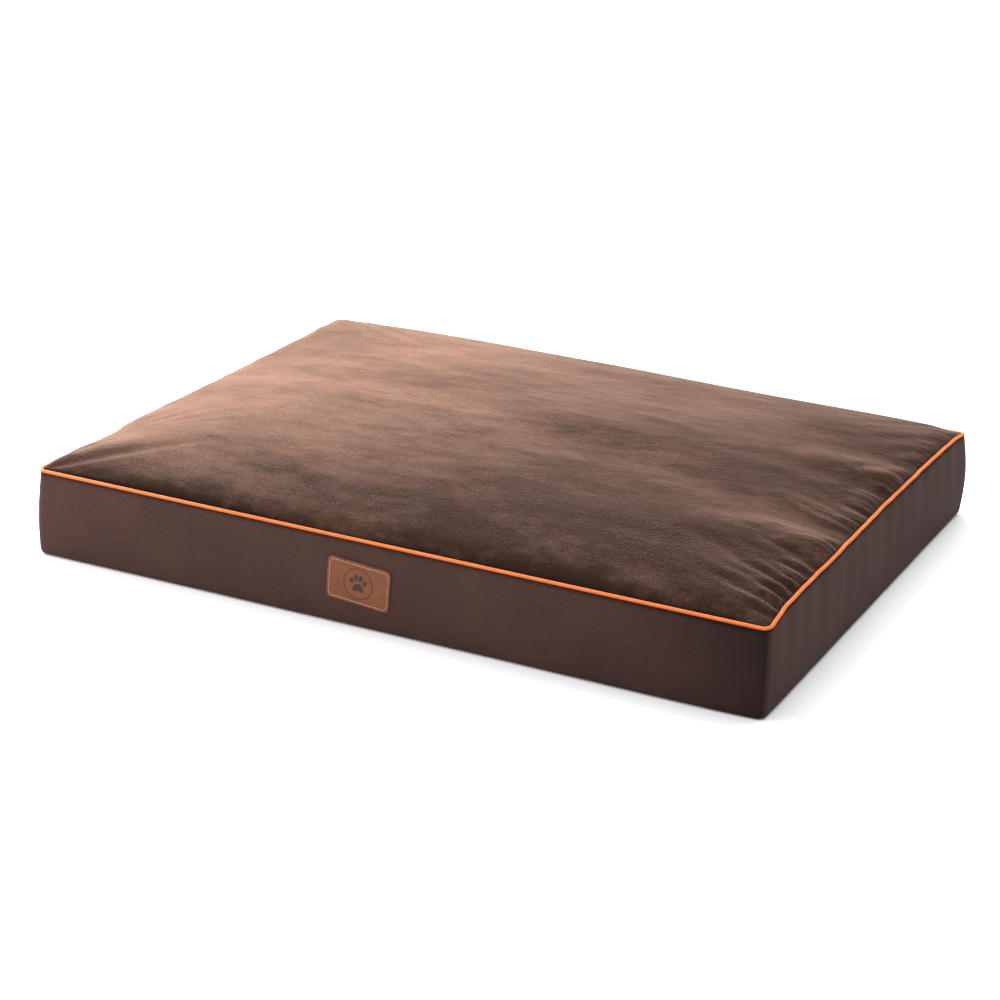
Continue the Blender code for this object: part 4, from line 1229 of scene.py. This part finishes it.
def build_fillings():
    low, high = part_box("support_foam")
    half_x, half_y = high.x, high.y
    x, y = plan_grid(half_x, half_y, 0.006, 0.020)
    edge = edge_distance(x, y, half_x, half_y, 0.006)
    top = high.z - 0.0012 * (1 - approach(edge, 0.002)) - 0.0003 * (1 + fbm(x, y, 0.05, 0.05, 51, 2))
    cream = foam_material("support_foam_cells", rgb(0.80, 0.77, 0.68), rgb(0.52, 0.46, 0.34))
    slab("support_foam_block", x, y, top, low.z, cream, "support_foam")
    low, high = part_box("comfort_foam")
    bumps_x, bumps_y, base = 11, 8, 0.020
    x, y = plan_grid(half_x, half_y, 0.006, 0.0081)
    wave = np.cos(math.pi * bumps_x * (x / half_x + 1)) + np.cos(math.pi * bumps_y * (y / half_y + 1))
    rise = high.z - low.z - base
    top = low.z + base + rise * (0.5 + 0.25 * wave) ** 1.15
    blue = foam_material("comfort_foam_cells", rgb(0.50, 0.66, 0.78), rgb(0.28, 0.42, 0.55))
    slab("comfort_foam_eggcrate", x, y, top, low.z, blue, "comfort_foam")
    low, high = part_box("fibre_wadding")
    x, y = plan_grid(high.x, high.y, 0.006, 0.011)
    tufts = 0.0012 * from_liner_edge(x, y) * fbm(x, y, 0.03, 0.03, 61, 3)
    top = liner_height(x, y) - LINER_FILM - 0.0040 - 0.003 * (1 - from_liner_edge(x, y)) + tufts
    top = np.maximum(top, low.z + 0.001)
    slab("fibre_wadding_fill", x, y, top, low.z, fibre_material(), "fibre_wadding")


# ---------------------------------------------------------------- stage


def build_stage():
    mesh = bpy.data.meshes.new("studio_floor")
    bm = bmesh.new()
    bmesh.ops.create_grid(bm, x_segments=1, y_segments=1, size=40)
    bm.to_mesh(mesh)
    bm.free()
    floor = link("studio_floor", mesh)
    floor.location.z = -0.0002
    s = Shader("studio_floor")
    mesh.materials.append(s.finish(rgb(0.82, 0.82, 0.82), 0.9, specular=0.0))
    world = bpy.data.worlds.new("studio")
    bpy.context.scene.world = world
    world.use_nodes = True
    background = world.node_tree.nodes["Background"]
    background.inputs["Color"].default_value = (1.0, 1.0, 1.0, 1.0)
    background.inputs["Strength"].default_value = WORLD_LIGHT
    sky_panel("high_soft", 40, 62, 4.3, 90)
    softbox("key_behind_left", (-1.30, 0.42, 0.62), (-0.25, 0.0, 0.12), (0.9, 0.6), 66.0)
    softbox("left_front", (-1.45, -1.35, 0.7), (-0.45, -0.35, 0.05), (0.8, 0.6), 20.0)


def sky_panel(name, azimuth, elevation, strength, width):
    """Very wide, even light from high up: azimuth is measured from the far side towards the left."""
    light = bpy.data.lights.new(name, "SUN")
    light.energy = strength
    light.angle = math.radians(width)
    lamp = link(name, light)
    a, e = math.radians(azimuth), math.radians(elevation)
    toward = Vector((-math.sin(a) * math.cos(e), math.cos(a) * math.cos(e), math.sin(e)))
    lamp.rotation_euler = toward.to_track_quat("Z", "Y").to_euler()


def softbox(name, place, target, size, power):
    light = bpy.data.lights.new(name, "AREA")
    light.shape = "RECTANGLE"
    light.size, light.size_y = size
    light.energy = power
    light.color = (1.0, 0.98, 0.97)
    lamp = link(name, light)
    lamp.location = place
    lamp.visible_camera = False
    lamp.rotation_euler = (Vector(target) - Vector(place)).to_track_quat("-Z", "Y").to_euler()


def build_camera():
    """To the right of the front, above the bed, and turned a little about its own axis."""
    yaw, pitch, roll = math.radians(-26.58), math.radians(21.33), math.radians(1.28)
    forward = Vector((math.sin(yaw) * math.cos(pitch), math.cos(yaw) * math.cos(pitch), -math.sin(pitch)))
    level = Vector((math.cos(yaw), -math.sin(yaw), 0.0))
    upright = level.cross(forward)
    right = math.cos(roll) * level + math.sin(roll) * upright
    up = right.cross(forward)
    camera_data = bpy.data.cameras.new("camera")
    camera_data.lens = 85.03
    camera_data.clip_end = 100.0
    camera = link("camera", camera_data)
    turned = Matrix((right, up, -forward)).transposed().to_4x4()
    camera.matrix_world = Matrix.Translation((1.1917, -2.4259, 1.0968)) @ turned
    bpy.context.scene.camera = camera
    bpy.context.scene.view_settings.view_transform = "Standard"


OXFORD = oxford_material()
BASE_WEAVE = woven_material("base_weave", rgb(0.060, 0.052, 0.050), rgb(0.022, 0.019, 0.018), 0.0012)
GRIP = yarn_material("grip_rubber", rgb(0.035, 0.033, 0.033), rgb(0.020, 0.019, 0.019), 0.0006, 0.55, 0.0)
COTTON = yarn_material("cotton_plies", rgb(0.78, 0.74, 0.65), rgb(0.45, 0.40, 0.32), 0.0022)
THREAD = yarn_material("waxed_thread", rgb(0.86, 0.55, 0.34), rgb(0.55, 0.29, 0.16), 0.0006, 0.6, 0.1)
SEAM_BROWN = rgb(0.10, 0.060, 0.050), rgb(0.040, 0.022, 0.018)
SEAM_THREAD = yarn_material("seam_thread", *SEAM_BROWN, 0.0005, 0.5, 0.1)
TAPE = woven_material("zip_tape_weave", rgb(0.085, 0.050, 0.042), rgb(0.030, 0.017, 0.014), 0.0010)
SATIN_GREY = rgb(0.36, 0.355, 0.34), rgb(0.26, 0.255, 0.25)
SATIN = woven_material("satin_ribbon", *SATIN_GREY, 0.0005, 0.45, 0.05, 0.00005)
LINER_BLUE = rgb(0.62, 0.65, 0.68), rgb(0.42, 0.45, 0.48)
LINER = woven_material("liner_cloth", *LINER_BLUE, 0.0007, 0.42, 0.1, 0.00006)
NYLON = nylon_material()
METAL = metal_material()

build_camera()
build_top_panel()
build_boxing()
build_base_panel()
build_welt()
build_label()
build_zips()
build_care_label()
build_liner()
build_fillings()
build_stage()
